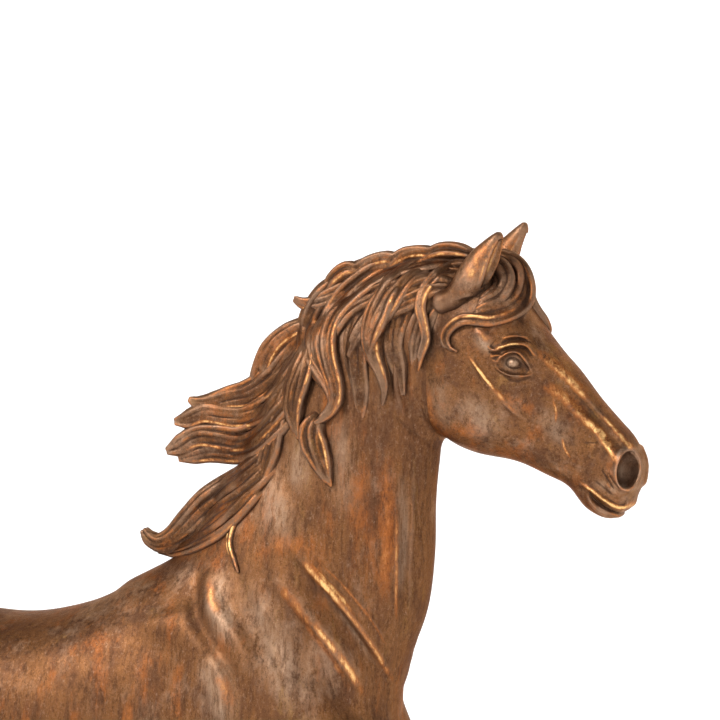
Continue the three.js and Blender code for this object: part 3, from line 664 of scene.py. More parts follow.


def add_rub_and_highlight(piece, name, lines):
    """Stores how strongly each point is marked, from lines with a width and a strength: gold rub,
    and pale patches that are partly pale wear and partly painted highlight.

    A line is drawn through 3-D points, or through (x, z) points on both sides of the horse.
    """
    mesh = piece.data
    points = np.empty(len(mesh.vertices) * 3)
    mesh.vertices.foreach_get("co", points)
    points = points.reshape(-1, 3) / MM
    total = np.zeros(len(points))
    for path, width, strength in lines:
        line = smooth_rows(path, RUB_STEPS)
        seen = points if line.shape[1] == 3 else points[:, (0, 2)]
        reach = 2.5 * width
        inside = ((seen > line.min(axis=0) - reach) & (seen < line.max(axis=0) + reach)).all(axis=1)
        chosen = np.flatnonzero(inside)
        near = seen[chosen]
        rubbed = np.zeros(len(chosen))
        for i in range(len(line) - 1):
            d = line[i + 1] - line[i]
            t = np.clip(((near - line[i]) @ d) / (d @ d + 1e-9), 0, 1)
            away = ((near - line[i] - t[:, None] * d)**2).sum(axis=1)
            place = (i + t) / (len(line) - 1)
            fade = np.clip(5 * place * (1 - place), 0, 1)
            rubbed = np.maximum(rubbed, strength * fade * np.exp(-away / width**2))
        total[chosen] = np.maximum(total[chosen], rubbed)
    attribute = mesh.attributes.new(name, "FLOAT", "POINT")
    attribute.data.foreach_set("value", total.astype(np.float32))


def finish_piece(piece, nodes, gilt_lines=(), pale_and_highlight_lines=(), finish="antique_bronze"):
    add_rub_and_highlight(piece, "gilt", gilt_lines)
    add_rub_and_highlight(piece, "pale_and_highlight", pale_and_highlight_lines)
    piece.data.materials.append(MATERIALS[finish])
    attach(piece, "root")
    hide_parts(*nodes)


# Lines of pale patches and painted highlight, in the form of the gold ones: partly pale wear,
# partly painted highlight on the bulges, and a painted glint on each eye.
PALE_AND_HIGHLIGHT_FACE = [
    ([(152.2, 390), (154.6, 387.4), (157, 384.4)], 2, 0.85),
    # painted glint on the eyeball
    ([(164.4, 379.5), (165.9, 379.7), (167.4, 379.5)], 2.1, 1.3),
    ([(158, 384.6), (163, 386.6), (168.6, 387.2)], 0.8, 0.5),
    ([(146, 362), (152, 360.5), (160, 352.7)], 5, 0.45),
    ([(176, 360), (181, 355), (187, 348)], 4, 0.4),
    ([(134, 372), (136, 362), (140, 356)], 5, 0.3),
    ([(198, 333), (203, 331.6), (207, 329)], 2, 0.45),
    ([(207, 340), (207.6, 345), (210.4, 346.6), (213.4, 345)], 0.8, 1),
    ([(208.6, 343), (206.8, 338.4), (208.2, 333), (211, 330.6), (213.6, 332)], 0.7, 1),
]
PALE_AND_HIGHLIGHT_BODY = [
    ([(47.6, 292), (46, 284), (50.7, 275), (55, 267)], 4.2, 0.95),
    ([(47.4, 260), (51, 248), (54, 234)], 5, 0.8),
    ([(58, 288), (66, 276), (74, 263), (84, 243)], 7, 0.45),
    ([(62, 336), (66, 323), (74, 308)], 6.5, 0.6),
    ([(81, 350), (77.5, 338), (78, 328)], 5, 0.5),
    ([(94, 356), (96, 338), (99, 318)], 5, 0.35),
    ([(118, 336), (119.4, 312), (118, 284)], 1.6, 0.5),
    ([(86, 292), (94, 283), (102, 271), (108, 258)], 1, 0.6),
    ([(90, 272), (98, 261), (104, 249)], 1, 0.6),
    ([(20, 240), (24, 222), (22, 204)], 5, 0.4),
]
PALE_AND_HIGHLIGHT_EAR = [
    ([(145.6, 408), (149, 414.6), (151, 418)], 2.6, 0.8),
    ([(151.4, 408), (154, 415.6), (157, 422.6), (160, 429)], 0.45, 1),
]


# ------------------------------------------------------------------ hair
def skin_depth(x, z):
    """Half width of the neck, head or trunk at a place in the side view; 0 outside them."""
    depth = 0.0
    for rows in SKIN_ROWS:
        middle, half = (rows[:, 0:2] + rows[:, 2:4]) / 2, (rows[:, 0:2] - rows[:, 2:4]) / 2
        length = np.linalg.norm(half, axis=1)
        dx, dz = x - middle[:, 0], z - middle[:, 1]
        off_plane = np.abs(dz * half[:, 0] - dx * half[:, 1]) / length
        nearest = off_plane.argmin()
        share = (dx[nearest] * half[nearest, 0] + dz[nearest] * half[nearest, 1])
        share /= length[nearest]**2
        if off_plane[nearest] < 3 and abs(share) < 1:
            depth = max(depth, rows[nearest, 4] * math.sqrt(1 - share**2))
    return depth


SKIN_ROWS = [smooth_rows(sections, SECTION_STEPS) for sections in (NECK, HEAD, TRUNK)]


STRAND_PITCH = 1.75       # mm between neighbouring strands of a lock
ROOT_SUNK = 5.0           # how deep a lock starts below its own height, mm
ROOT_SHARE = 0.18         # part of a lock's length over which it rises out of the skin
FILLING_LIMIT = 2.6       # largest radius of the filling under the strands, mm


def lock(side, path, widths, rims=(0.8, 0.5), lift=0.9, bulge=1.0):
    """One lock: a middle line on the skin, widths along it, gold on its two rims."""
    return {"side": side, "path": path, "widths": widths, "rims": rims, "lift": lift,
            "bulge": bulge}


class LockShape:
    """Middle line, surface height and cross direction of a lock, worked out along its length."""

    def __init__(self, side, path, widths, rims, lift, bulge):
        self.side, self.rims, self.lift, self.bulge = side, rims, lift, bulge
        self.line = smooth_rows([point[:2] for point in path], LINE_STEPS)
        self.t = np.linspace(0, 1, len(self.line))
        self.width = np.interp(self.t, np.linspace(0, 1, len(widths)), widths)
        travel = np.gradient(self.line, axis=0)
        travel /= np.linalg.norm(travel, axis=1)[:, None] + 1e-9
        self.across = np.stack([travel[:, 1], -travel[:, 0]], axis=1)
        self.fixed = None
        if len(path[0]) == 3:
            self.fixed = smooth_rows([(point[2], 0) for point in path], LINE_STEPS)[:, 0]

    def at(self, place, rise):
        """3-D line at a place across the lock (-1 to 1) and a height above the skin."""
        flat = self.line + self.across * (place * self.width / 2)[:, None]
        if self.fixed is None:
            depth = np.array([skin_depth(x, z) for x, z in flat])
            depth = np.convolve(np.pad(depth, 3, mode="edge"), np.ones(7) / 7, mode="valid")
            rooted = np.clip(self.t / ROOT_SHARE, 0, 1)
            rise = rise - ROOT_SUNK * (1 - rooted)**2
            base = self.side * np.maximum(depth + rise, 0.0)
        else:
            base = self.fixed + self.side * rise
        return np.stack([flat[:, 0], base, flat[:, 1]], axis=1)

    def filling(self):
        """Thick lines below the strands that make the lock one solid body."""
        radius = np.minimum(0.34 * self.width, FILLING_LIMIT)
        rows = max(1, int(round(self.width.max() / 6)))
        for k in range(rows):
            place = 0.0 if rows == 1 else 0.6 * (2 * k / (rows - 1) - 1)
            yield self.at(np.full(len(self.t), place), self.lift - 0.55 * radius), radius

    def strands(self):
        """Thin lines over the filling: (points, radii, gold)."""
        count = max(2, int(round(self.width.max() / STRAND_PITCH)))
        for k in range(count):
            place = 2 * k / (count - 1) - 1
            wave = 0.12 * np.sin(7 * self.t + 2.3 * k + 1.3 * count)
            radius = 0.25 + self.width / count * (0.66 + 0.16 * math.cos(2.4 * k))
            rise = self.lift + self.bulge * (1 - place**2) * np.sin(math.pi * self.t**0.8)
            rise = rise + 0.34 * math.sin(2.9 * k + count) + 0.25 * (abs(place) == 1)
            end = len(self.t) - int(round(0.05 * len(self.t) * (k % 3)))
            gold = self.rims[0] if k == 0 else self.rims[1] if k == count - 1 else 0.0
            gold = gold or 0.3 * (k % 3 == 1)
            yield self.at(place * 0.8 + wave, rise)[:end], radius[:end], gold


def strand_field(grid, points, radii):
    field = np.full(grid.shape, OUTSIDE, np.float32)
    for i in range(len(points) - 1):
        a, b = points[i], points[i + 1]
        margin = max(radii[i], radii[i + 1]) + 3
        window = grid.window(np.minimum(a, b) - margin, np.maximum(a, b) + margin)
        if window is None:
            continue
        x, y, z = grid.x[window[0]], grid.y[:, window[1]], grid.z[:, :, window[2]]
        d = b - a
        t = np.clip(((x - a[0]) * d[0] + (y - a[1]) * d[1] + (z - a[2]) * d[2]) / (d @ d), 0, 1)
        away = np.sqrt((x - a[0] - t * d[0])**2 + (y - a[1] - t * d[1])**2
                       + (z - a[2] - t * d[2])**2)
        away -= radii[i] + t * (radii[i + 1] - radii[i])
        field[window] = np.minimum(field[window], away)
    return field


NEAR_HAIR_VOXEL = 0.42
FAR_HAIR_VOXEL = 0.6
STRAND_BLEND = 0.6
STRAND_GOLD_WIDTH = 0.6


def build_hair(name, locks, cores=()):
    """One casting of hair from several locks; each lock's strands melt into one another."""
    shapes = [LockShape(**each) for each in locks]
    filling = [line for shape in shapes for line in shape.filling()] + list(cores)
    strands = [(shape.side, *strand) for shape in shapes for strand in shape.strands()]
    points = np.vstack([line for line, _ in filling] + [strand[1] for strand in strands])
    voxel = FAR_HAIR_VOXEL if name.startswith("far") else NEAR_HAIR_VOXEL
    grid = Grid(points.min(axis=0) - 5, points.max(axis=0) + 5, voxel)
    field = np.full(grid.shape, OUTSIDE, np.float32)
    for line, radii in filling:
        field = np.minimum(field, strand_field(grid, line, radii))
    gilt = []
    for side, line, radii, gold in strands:
        field = smooth_union(field, strand_field(grid, line, radii), STRAND_BLEND)
        if gold:
            crown = line + np.array([0, side, 0]) * radii[:, None] * 0.8
            gilt.append((crown[::4], STRAND_GOLD_WIDTH, gold))
    finish_piece(mesh_from(name + "_hair", grid, field), [name], gilt, (), "hair_bronze")


CREST = [
    ([(147, 419), (136, 419.6), (122, 418), (108, 415.6), (97, 413), (89, 408.6), (83, 401.5), (79, 393)],
      (6, 8, 9, 10, 10, 8, 5)),
    ([(144, 414), (131, 414), (117, 410.5), (105, 407), (95, 401), (88, 392), (85, 382)],
      (7, 10, 12, 12, 11, 7)),
    ([(141, 408), (131, 408.5), (120, 404), (110, 399), (102, 391), (97, 381)], (5, 8, 10, 9, 6, 2)),
    ([(84, 399), (76.5, 392), (68, 387), (60, 379.5), (55, 370), (53, 360)], (5, 8, 12, 13, 12, 9)),
    ([(84, 392), (74, 384), (67, 375), (63, 366), (61, 355)], (8, 10, 11, 10, 7)),
    ([(72, 372), (67, 362), (64.5, 352), (64, 342), (61, 331)], (8, 10, 10, 9, 6)),
]
UNDER = [
    ([(130, 413), (120, 404), (115.6, 395), (115, 386), (117.4, 377), (119.4, 366)], (7, 11, 12, 10, 7, 2)),
    ([(142, 411), (133, 404), (128, 396), (125.4, 388), (124, 378)], (6, 9, 9, 7, 2)),
    ([(112, 408), (103.6, 398), (100, 388), (100.6, 378), (102.6, 366), (102, 352)], (7, 11, 12, 10, 7, 2)),
]
CURLS = [
    ([(146, 420), (139, 422.6), (131, 422.8), (124, 420), (118, 415.5)], (2, 3.4, 4, 3.4, 1)),
    ([(131, 420), (124, 422), (116, 421), (109, 416.5), (104, 410.5)], (2, 3.6, 4.4, 3.4, 1)),
    ([(115, 418), (107, 419.4), (99, 416.4), (93, 410.4), (90, 403)], (2, 4, 4.6, 3.6, 1)),
    ([(99, 414), (91, 414.6), (84.5, 409.6), (81, 402)], (2, 4, 4, 1)),
    ([(78, 392), (70, 390), (62, 384.6), (57, 376.5), (54.6, 367)], (2, 4, 4.6, 4, 1)),
]
FINGERS = [
    ([(76, 389), (67, 378.6), (58, 369.4), (49, 363.4), (41, 361.4), (33, 359), (27, 358.8), (23, 360.4)],
      (9, 11, 12, 11, 9, 7.4, 5, 1.8)),
    ([(77, 379), (67, 368), (57, 359), (47, 354.8), (38, 354.4), (30, 354.8), (23, 352.2), (17, 351.2)],
      (10, 11, 11.5, 10.5, 9.5, 8.6, 7, 2.6)),
    ([(76, 369), (67, 359), (57, 350), (46, 345.2), (36, 345.8), (27, 345.6), (19.6, 341.6), (13.6, 339.2)],
      (9, 10.5, 10.5, 10, 10, 9, 8, 3)),
    ([(75, 359), (65, 350), (55, 342.6), (44, 339.6), (33, 339.6), (25, 337.4), (18.6, 336)],
      (7, 9, 9, 8, 7.4, 5.4, 2)),
]
HOOK = [
    ([(68, 346), (60, 338), (50, 331), (40, 326), (30, 319.6), (22, 311.6), (15.5, 304.6), (9.5, 301.6),
      (5, 303), (2.6, 306)], (6, 8, 9, 9, 9, 8, 7, 6, 5, 2.6)),
    ([(67, 339), (59, 331), (50, 324.4), (40, 318.6), (31, 312), (24, 305.4), (15.5, 300.6), (7.6, 299.6)],
      (8, 9.4, 10, 10, 9.5, 9, 7, 3)),
    ([(63, 330), (56, 322.6), (49.5, 316.6), (40.5, 309.6), (28, 303), (16.5, 298.8), (9.4, 298)],
      (5, 7, 8, 8, 7, 5, 2)),
]
HAIR = {
    "mane_crest": [lock(side, *part, rims=(0.25, 0.25), bulge=0.8)
                   for side in (RIGHT, LEFT) for part in CREST]
                  + [lock(side, *part, rims=(0.12, 0.12), lift=-0.9, bulge=0.5)
                     for side in (RIGHT, LEFT) for part in UNDER]
                  + [lock(side, *curl, rims=(0.8, 0.3), lift=1.8)
                     for side in (RIGHT, LEFT) for curl in CURLS],
    "mane_lock_behind_ear": [
        lock(RIGHT, [(141, 419), (134, 415), (130, 411), (127.5, 406), (127, 400), (129, 394), (130, 388),
            (128, 382), (126.5, 376)], (3, 4, 4.4, 3.8, 3, 2.4, 1), lift=1.6),
    ],
    "mane_lock_middle": [
        lock(RIGHT, [(133, 420), (122, 415.5), (115, 409), (111, 402), (108, 395), (107, 388), (108.5, 381),
            (111.5, 374.5), (113, 368.5), (112.3, 362)], (6, 9, 13, 12, 9, 6.5, 4.5, 3, 0.8), lift=1.8),
        lock(RIGHT, [(118, 411), (113.5, 404), (111.5, 397), (109, 390), (107, 383)], (3, 4, 4, 1),
            lift=2.8),
    ],
    "mane_lock_rear": [
        lock(RIGHT, [(124, 419), (108, 414), (97, 407), (89, 399), (86, 391), (86.5, 384), (89, 377),
            (92, 370), (93, 364), (91, 359), (87, 355.5), (81.5, 353)],
            (7, 10, 11, 10, 9, 7.5, 6, 4.5, 3, 1), lift=2.2),
        lock(RIGHT, [(102, 408), (90, 402), (83, 394), (81.5, 386), (85, 378), (89.5, 370)],
            (6, 8, 8, 7, 3), lift=1.6),
    ],
    "mane_lock_curl": [
        lock(RIGHT, [(92, 413), (82, 405), (76, 396), (75, 388), (79, 380), (85, 373.5), (90, 367),
            (92, 360)], (5, 8, 9, 8, 6, 4, 1.5), lift=2),
    ],
    "mane_lock_leaf": [
        lock(RIGHT, [(77, 391), (78, 383), (76, 375), (74.5, 368), (74, 361), (75, 355), (77.5, 347.5)],
            (3, 7, 11, 12, 10, 6, 0.8), lift=2.2),
    ],
    "mane_lock_tip": [
        lock(RIGHT, [(86.5, 358), (83.5, 351.5), (84.5, 345), (87.5, 339), (90, 334), (92.5, 329.5)],
            (4, 9, 10, 8, 4.5, 0.8), lift=1.8),
    ],
    "mane_wisp_top": [
        lock(RIGHT, [(95, 407.6), (87, 403.6), (79.4, 400.8), (73.4, 400.4), (69, 402)], (7, 7, 6, 4.2, 2),
            lift=2.2),
    ],
    "mane_tuft_upper": [lock(RIGHT, *FINGERS[0], lift=1.4)],
    "mane_tuft_middle": [lock(RIGHT, *FINGERS[1], lift=1.8)],
    "mane_tuft_lower": [lock(RIGHT, *FINGERS[2], lift=2.0), lock(RIGHT, *FINGERS[3], lift=1.4)],
    "mane_tail_lock": [lock(RIGHT, *part, rims=(0.6, 0.3), lift=1.5) for part in HOOK],
    "mane_wisp_shoulder": [
        lock(RIGHT, [(62, 330), (56, 322.5), (51, 316), (48.4, 310), (48.6, 304), (51.5, 298.5), (54, 294)],
            (1.5, 2.2, 2.2, 2.2, 2, 1), rims=(1, 1), lift=0.4, bulge=0.2),
    ],
    "far_lock_front": [
        lock(LEFT, [(136, 418), (124, 414), (117, 405), (114, 394), (116, 384), (119, 375), (117, 366)],
            (6, 11, 12, 9, 6, 1), lift=2),
    ],
    "far_lock_middle": [
        lock(LEFT, [(112, 414), (99, 404), (91, 393), (91, 381), (95, 370), (95, 360), (90, 352)],
            (8, 13, 14, 11, 7, 1), lift=2),
    ],
    "far_lock_rear": [
        lock(LEFT, [(88, 404), (76, 391), (69, 378), (66, 365), (69, 352), (76, 340)], (8, 13, 14, 11, 1),
            lift=2),
    ],
    "far_tuft": [lock(LEFT, *part, lift=1.6) for part in FINGERS[:3] + HOOK],
    "forelock": [
        lock(RIGHT, [(152, 420, -1), (157.5, 420, -1), (162, 417.6, -0.5), (165.6, 413.4, -1.5),
            (167.6, 407.8, -2.5), (167.8, 403.1, -5), (166, 399.9, -9.6), (162.2, 397.4, -15),
            (156.4, 396, -18.8), (146.9, 396.5, -20), (140.8, 393.1, -19.1), (138.6, 389, -18.8),
            (140.4, 385.1, -20), (144, 383.7, -21.6)], (4, 4.6, 4.6, 4.2, 4, 3.6, 3.4, 3, 2.4, 1),
            rims=(0.5, 1), lift=0.3, bulge=0.3),
        lock(RIGHT, [(150, 419.5, -1), (157.6, 418.2, -1), (163, 413.4, -2.5), (164.6, 409, -4),
            (164.8, 405.3, -6), (162, 401.7, -13), (156, 399.4, -18), (150.2, 398.5, -19.8)],
            (4, 4.4, 4.2, 4, 3.4, 1.4), rims=(0.3, 0.7), lift=0.2, bulge=0.3),
        lock(RIGHT, [(150, 418.6, -2), (155, 419, -2), (161, 416.4, -3), (163.2, 412.5, -4.5),
            (163, 407.2, -8), (161, 403.7, -12.6), (156.1, 401.8, -17), (150.6, 399.5, -19)],
            (4, 4, 4, 4, 3, 1.4), rims=(0.3, 0.5), lift=0.1, bulge=0.3),
        lock(RIGHT, [(149, 418, -3), (153, 418, -3.5), (157.5, 416.3, -5), (160.3, 412.9, -7),
            (160.8, 409.2, -9.5), (159.5, 405.6, -13), (154.8, 403.3, -16.8), (151.8, 401.5, -18)],
            (3.6, 4, 4, 4, 3, 1.4), rims=(0.2, 0.5), bulge=0.3),
        lock(RIGHT, [(148, 417, -5), (152, 416.5, -6), (156, 414.5, -7.5), (158, 412, -9),
            (158, 409, -11.4), (155.3, 406.4, -15), (152.7, 404.4, -17)], (3.6, 4, 4, 3.6, 2.6, 1.4),
            rims=(0.1, 0.2), bulge=0.3),
        lock(LEFT, [(150, 419.4, 1), (155.5, 418, 2), (160.6, 413.4, 3), (163.4, 408, 4.5), (165, 402.6, 6),
            (167.4, 398.4, 7), (170, 394.8, 8), (171.2, 391, 9.5), (170.2, 387.4, 10.5)],
            (3.6, 4, 4, 3.6, 3.2, 3, 2.4, 1), lift=0.2, bulge=0.3),
        lock(LEFT, [(149, 418.4, 4), (153.5, 417, 6), (158, 412.4, 8), (160.6, 407, 10), (161, 401.6, 13),
            (158.6, 396.6, 17), (154.4, 393.6, 19.4)], (4, 4.6, 4.6, 4, 3.4, 1.2), lift=0.2, bulge=0.3),
        lock(LEFT, [(148, 417, 7), (152, 415.4, 9.5), (155.4, 411, 12), (156.6, 405.4, 15),
            (153.8, 400.4, 18), (149, 398, 19.6)], (4, 4.6, 4.6, 4, 3, 1.2), lift=0.1, bulge=0.3),
    ],
}
FORELOCK_CORES = [
    (np.array([(150.0, side * 3, 416.0), (155.5, side * 4.5, 412.0), (159.5, side * 5, 406.5),
               (160.5, side * 8, 402.0)]), np.array([3.2, 4.0, 4.0, 3.2])) for side in (RIGHT, LEFT)
]


TAIL_BOX = ((-219, -16, 96), (-140, 18, 286))
TAIL_VOXEL = 0.75
TAIL_STRANDS = 14
TAIL_CORE = {"narrower": 0.72, "sunk": 1.6}      # the solid under the strands


def build_tail():
    """The tail: long strands fanned over the tail's own width, swinging and tapering."""
    rows = smooth_rows(TAIL, 4)
    outer = np.stack([rows[:, 0], rows[:, 5], rows[:, 1]], axis=1)
    inner = np.stack([rows[:, 2], rows[:, 5], rows[:, 3]], axis=1)
    middle, half = (outer + inner) / 2, (outer - inner) / 2
    half_width = rows[:, 4]
    count = len(rows)
    t = np.linspace(0, 1, count)
    grid = Grid(*TAIL_BOX, TAIL_VOXEL)
    core = [(a, b, c, d, w * TAIL_CORE["narrower"], y) for a, b, c, d, w, y in TAIL]
    field = limb_field(grid, core) + TAIL_CORE["sunk"]
    for k in range(TAIL_STRANDS):
        angle = 2 * math.pi * k / TAIL_STRANDS + 0.55 * np.sin(3.1 * t + k)
        spread = 0.78 - 0.1 * math.cos(2.3 * k)
        line = middle + half * (np.cos(angle) * spread)[:, None]
        line[:, 1] += np.sin(angle) * spread * half_width
        radius = 0.6 + 0.23 * half_width * (1 + 0.15 * math.cos(1.7 * k))
        end = count - 1 - 2 * (k % 4)
        field = smooth_union(field, strand_field(grid, line[:end], radius[:end]), 1.0)
    finish_piece(mesh_from("tail_hair", grid, field), ["tail_casting"], (), (), "hair_bronze")


# ------------------------------------------------------------------ ears and castings
EAR = [
    (151.3, 405.6, 137, 404.2, 5.5, 13.5), (155.6, 412, 139.8, 411, 6.6, 14),
    (159, 418, 143.5, 417.6, 6.4, 14), (160.4, 423, 148.2, 423.6, 5.2, 14),
    (161, 426.8, 153, 427.8, 3.8, 14), (161.2, 429.8, 156.4, 430.4, 2.6, 14),
    (160.6, 431.6, 158.6, 431.9, 1.3, 14),
]
EAR_CUP = [
    (158.5, 409, 151.5, 408.8, 2.6, 14.8), (163, 417, 153.8, 416.6, 4.3, 15),
    (164.4, 423.4, 156.2, 423.4, 3.5, 15), (164.4, 428, 158.6, 428.4, 1.7, 14.6),
]
GILT_EAR = [
    ([(145, 409), (149.5, 416), (153.5, 422), (157.5, 428)], 4.2, 0.38),
    ([(147.6, 411), (150.6, 416), (153, 420)], 2, 0.55),
    ([(151.8, 409), (154.4, 416.6), (157, 423.4), (159.6, 429.6)], 0.5, 0.6),
]


EAR_SPREAD = 14           # from the middle to an ear, mm


def build_ear(name, side, forward, rise):
    """A pricked ear: a pointed shell, hollowed towards the front, on a round bulb.

    forward and rise lean it: how much further each of its sections stands, mm.
    """
    outer, cup = [[(ux + forward * k, uz + rise * k, lx + forward * k, lz + rise * k, width,
                    side * across)
                   for k, (ux, uz, lx, lz, width, across) in enumerate(rows)]
                  for rows in (EAR, EAR_CUP)]
    middle = side * EAR_SPREAD
    grid = Grid((128, middle - 12, 392), (168, middle + 12, 436), 0.4)
    field = limb_field(grid, outer)
    bulb = ellipsoid_field(grid, (135.4, side * 13.8, 402.6), (3.9, 4.0, 4.4), 0)
    neck = ellipsoid_field(grid, (141, side * 13.4, 404), (7.5, 5.6, 5.0), 20)
    field = smooth_union(smooth_union(field, neck, 3), bulb, 2.4)
    hollow = limb_field(grid, cup)
    field = np.maximum(-smooth_union(-field, hollow, 0.6), -hollow)
    finish_piece(mesh_from(name + "_shell", grid, field), [name], GILT_EAR, PALE_AND_HIGHLIGHT_EAR)


HEAD_BOX = ((122, -30, 312), (224, 30, 428))
NECK_BOX = ((0, -42, 236), (138, 42, 424))
BODY_BOX = ((-172, -56, 140), (128, 56, 332))
VOXEL = {"head": 0.6, "neck": 0.75, "body": 1.1, "leg": 0.7}
# Finer parts of the head: (centre, radii, voxel).
DETAILS = {
    "right_eye": ((166.5, -17, 381), (12, 12, 11), 0.26),
    "left_eye": ((166.5, 17, 381), (12, 12, 11), 0.26),
    "muzzle": ((210, 0, 333), (17, 26, 17), 0.34),
}
DETAIL_TUCK, HEAD_TUCK = 3.0, 4.0    # how far they run on under the head, and it under them
GROUND = 20.0                        # where the hooves stand
LEG_SPACE = 6                        # how far a leg's skin may stand off its own sections


def build_head():
    """The head in four meshes of one field: finer round the eyes and the muzzle."""
    nodes = ["head_casting", "head_joint_sleeve"]
    grid = Grid(*HEAD_BOX, VOXEL["head"])
    field = keep_before(horse_field(grid), -plane_field(grid, HEAD_SEAM))
    for centre, radii, _ in DETAILS.values():
        field = keep_before(field, -ellipsoid_field(grid, centre, radii), HEAD_TUCK)
    finish_piece(mesh_from("head_skin", grid, field), nodes, GILT_FACE, PALE_AND_HIGHLIGHT_FACE)
    for name, (centre, radii, voxel) in DETAILS.items():
        centre, radii = np.array(centre, float), np.array(radii, float)
        grid = Grid(centre - radii - 4, centre + radii + 4, voxel)
        beyond = ellipsoid_field(grid, centre, radii)
        field = keep_before(horse_field(grid), beyond, DETAIL_TUCK)
        finish_piece(mesh_from(name + "_skin", grid, field), nodes, GILT_FACE, PALE_AND_HIGHLIGHT_FACE)


def build_neck():
    grid = Grid(*NECK_BOX, VOXEL["neck"])
    field = keep_before(horse_field(grid), plane_field(grid, HEAD_SEAM))
    field = keep_before(field, -plane_field(grid, NECK_SEAM))
    finish_piece(mesh_from("neck_skin", grid, field), ["neck_casting", "neck_joint_sleeve"],
                 GILT_BODY, PALE_AND_HIGHLIGHT_BODY, "brushed_skin")


def build_body():
    grid = Grid(*BODY_BOX, VOXEL["body"])
    field = keep_before(horse_field(grid), plane_field(grid, NECK_SEAM))
    for sections, seam in LEGS.values():
        own = limb_field(grid, sections[3:]) - LEG_SPACE
        field = keep_before(field, np.minimum(plane_field(grid, seam), -own))
    finish_piece(mesh_from("body_skin", grid, field), ["body_casting"], GILT_BODY, PALE_AND_HIGHLIGHT_BODY,
                 "brushed_skin")


def build_leg(name, sections, seam):
    low, high = box_of(sections[3:], 5)
    grid = Grid((low[0], low[1], max(low[2], GROUND - 1)), high, VOXEL["leg"])
    own = limb_field(grid, sections[3:]) - LEG_SPACE
    field = np.maximum(horse_field(grid), own)
    field = np.maximum(field, GROUND - grid.z)
    field = keep_before(field, -plane_field(grid, seam))
    finish_piece(mesh_from(name + "_skin", grid, field), [name], (), (), "brushed_skin")


# ------------------------------------------------------------------ materials
class Nodes:
    """Small helper that adds and links shader nodes."""

    def __init__(self, name):
        self.material = bpy.data.materials.new(name)
        self.material.use_nodes = True
        self.tree = self.material.node_tree
        self.shader = self.tree.nodes["Principled BSDF"]

    def add(self, kind, inputs=None, **settings):
        node = self.tree.nodes.new("ShaderNode" + kind)
        for key, value in settings.items():
            setattr(node, key, value)
        for key, value in (inputs or {}).items():
            if isinstance(value, bpy.types.NodeSocket):
                self.tree.links.new(value, node.inputs[key])
            else:
                node.inputs[key].default_value = value
        return node

    def noise(self, scale, detail=4.0, rough=0.55, stretch=(1, 1, 1), lift=0.0):
        place = self.add("TexCoord").outputs["Object"]
        mapping = self.add("Mapping", {"Vector": place, "Scale": stretch,
                                       "Location": (lift, lift * 0.7, lift * 1.3)})
        node = self.add("TexNoise", {"Vector": mapping.outputs[0], "Scale": scale,
                                     "Detail": detail, "Roughness": rough})
        return node.outputs["Fac"]

    def span(self, value, low, high, to_low=0.0, to_high=1.0):
        node = self.add("MapRange", {"Value": value, "From Min": low, "From Max": high,
                                     "To Min": to_low, "To Max": to_high},
                        interpolation_type="SMOOTHSTEP")
        return node.outputs["Result"]

    def math(self, operation, a, b=0.0):
        return self.add("Math", {0: a, 1: b}, operation=operation).outputs[0]

    def mix(self, share, a, b):
        node = self.add("Mix", {"Factor": share}, data_type="RGBA")
        for socket, value in (("A", a), ("B", b)):
            target = [s for s in node.inputs if s.name == socket and s.type == "RGBA"][0]
            if isinstance(value, bpy.types.NodeSocket):
                self.tree.links.new(value, target)
            else:
                target.default_value = (*value, 1)
        return [s for s in node.outputs if s.type == "RGBA"][0]

    def link(self, output, socket):
        self.tree.links.new(output, self.shader.inputs[socket])

    def bump(self, height, strength, distance, below=None):
        node = self.add("Bump", {"Height": height, "Strength": strength, "Distance": distance})
        if below is not None:
            self.tree.links.new(below, node.inputs["Normal"])
        return node.outputs["Normal"]

    def finished(self, constants):
        for socket, value in constants.items():
            self.shader.inputs[socket].default_value = value
        return self.material


# The pale colour of the pale patches is partly pale wear and partly painted highlight; umber colours the
# groove patina, the dark flecks and the painted shade from ambient occlusion.
BRONZE = {
    "brown": (0.094, 0.040, 0.019), "warm": (0.160, 0.066, 0.024), "pale": (0.34, 0.205, 0.13),
    "umber": (0.026, 0.011, 0.006), "gold": (0.84, 0.51, 0.2), "orange": (0.33, 0.094, 0.019),
    "pale_wear_and_highlight": (0.42, 0.285, 0.19), "olive": (0.27, 0.135, 0.038),
}


def bronze_noises(n, stretch):
    """The patterns of the patina; stretch below 1 draws the fine ones out upwards."""
    return {
        "patches": n.noise(26, 10, 0.68, (1, 1, 0.5 + 0.5 * stretch)),
        "clouds": n.noise(80, 10, 0.74, (1, 1, stretch), 3.0),
        "mottle": n.noise(300, 8, 0.78, (1, 1, 0.4 + 0.6 * stretch), 7.0),
        "brush": n.noise(260, 8, 0.78, (1.3, 1.3, 0.8 * stretch), 5.0),
        "glaze": n.noise(60, 10, 0.72, (1, 1, 0.6 * stretch), 2.0),
        "flecks": n.noise(760, 7, 0.82, (1, 1, 0.4 + 0.6 * stretch), 4.0),
        "grain": n.noise(1800, 4, 0.8, lift=9.0),
    }


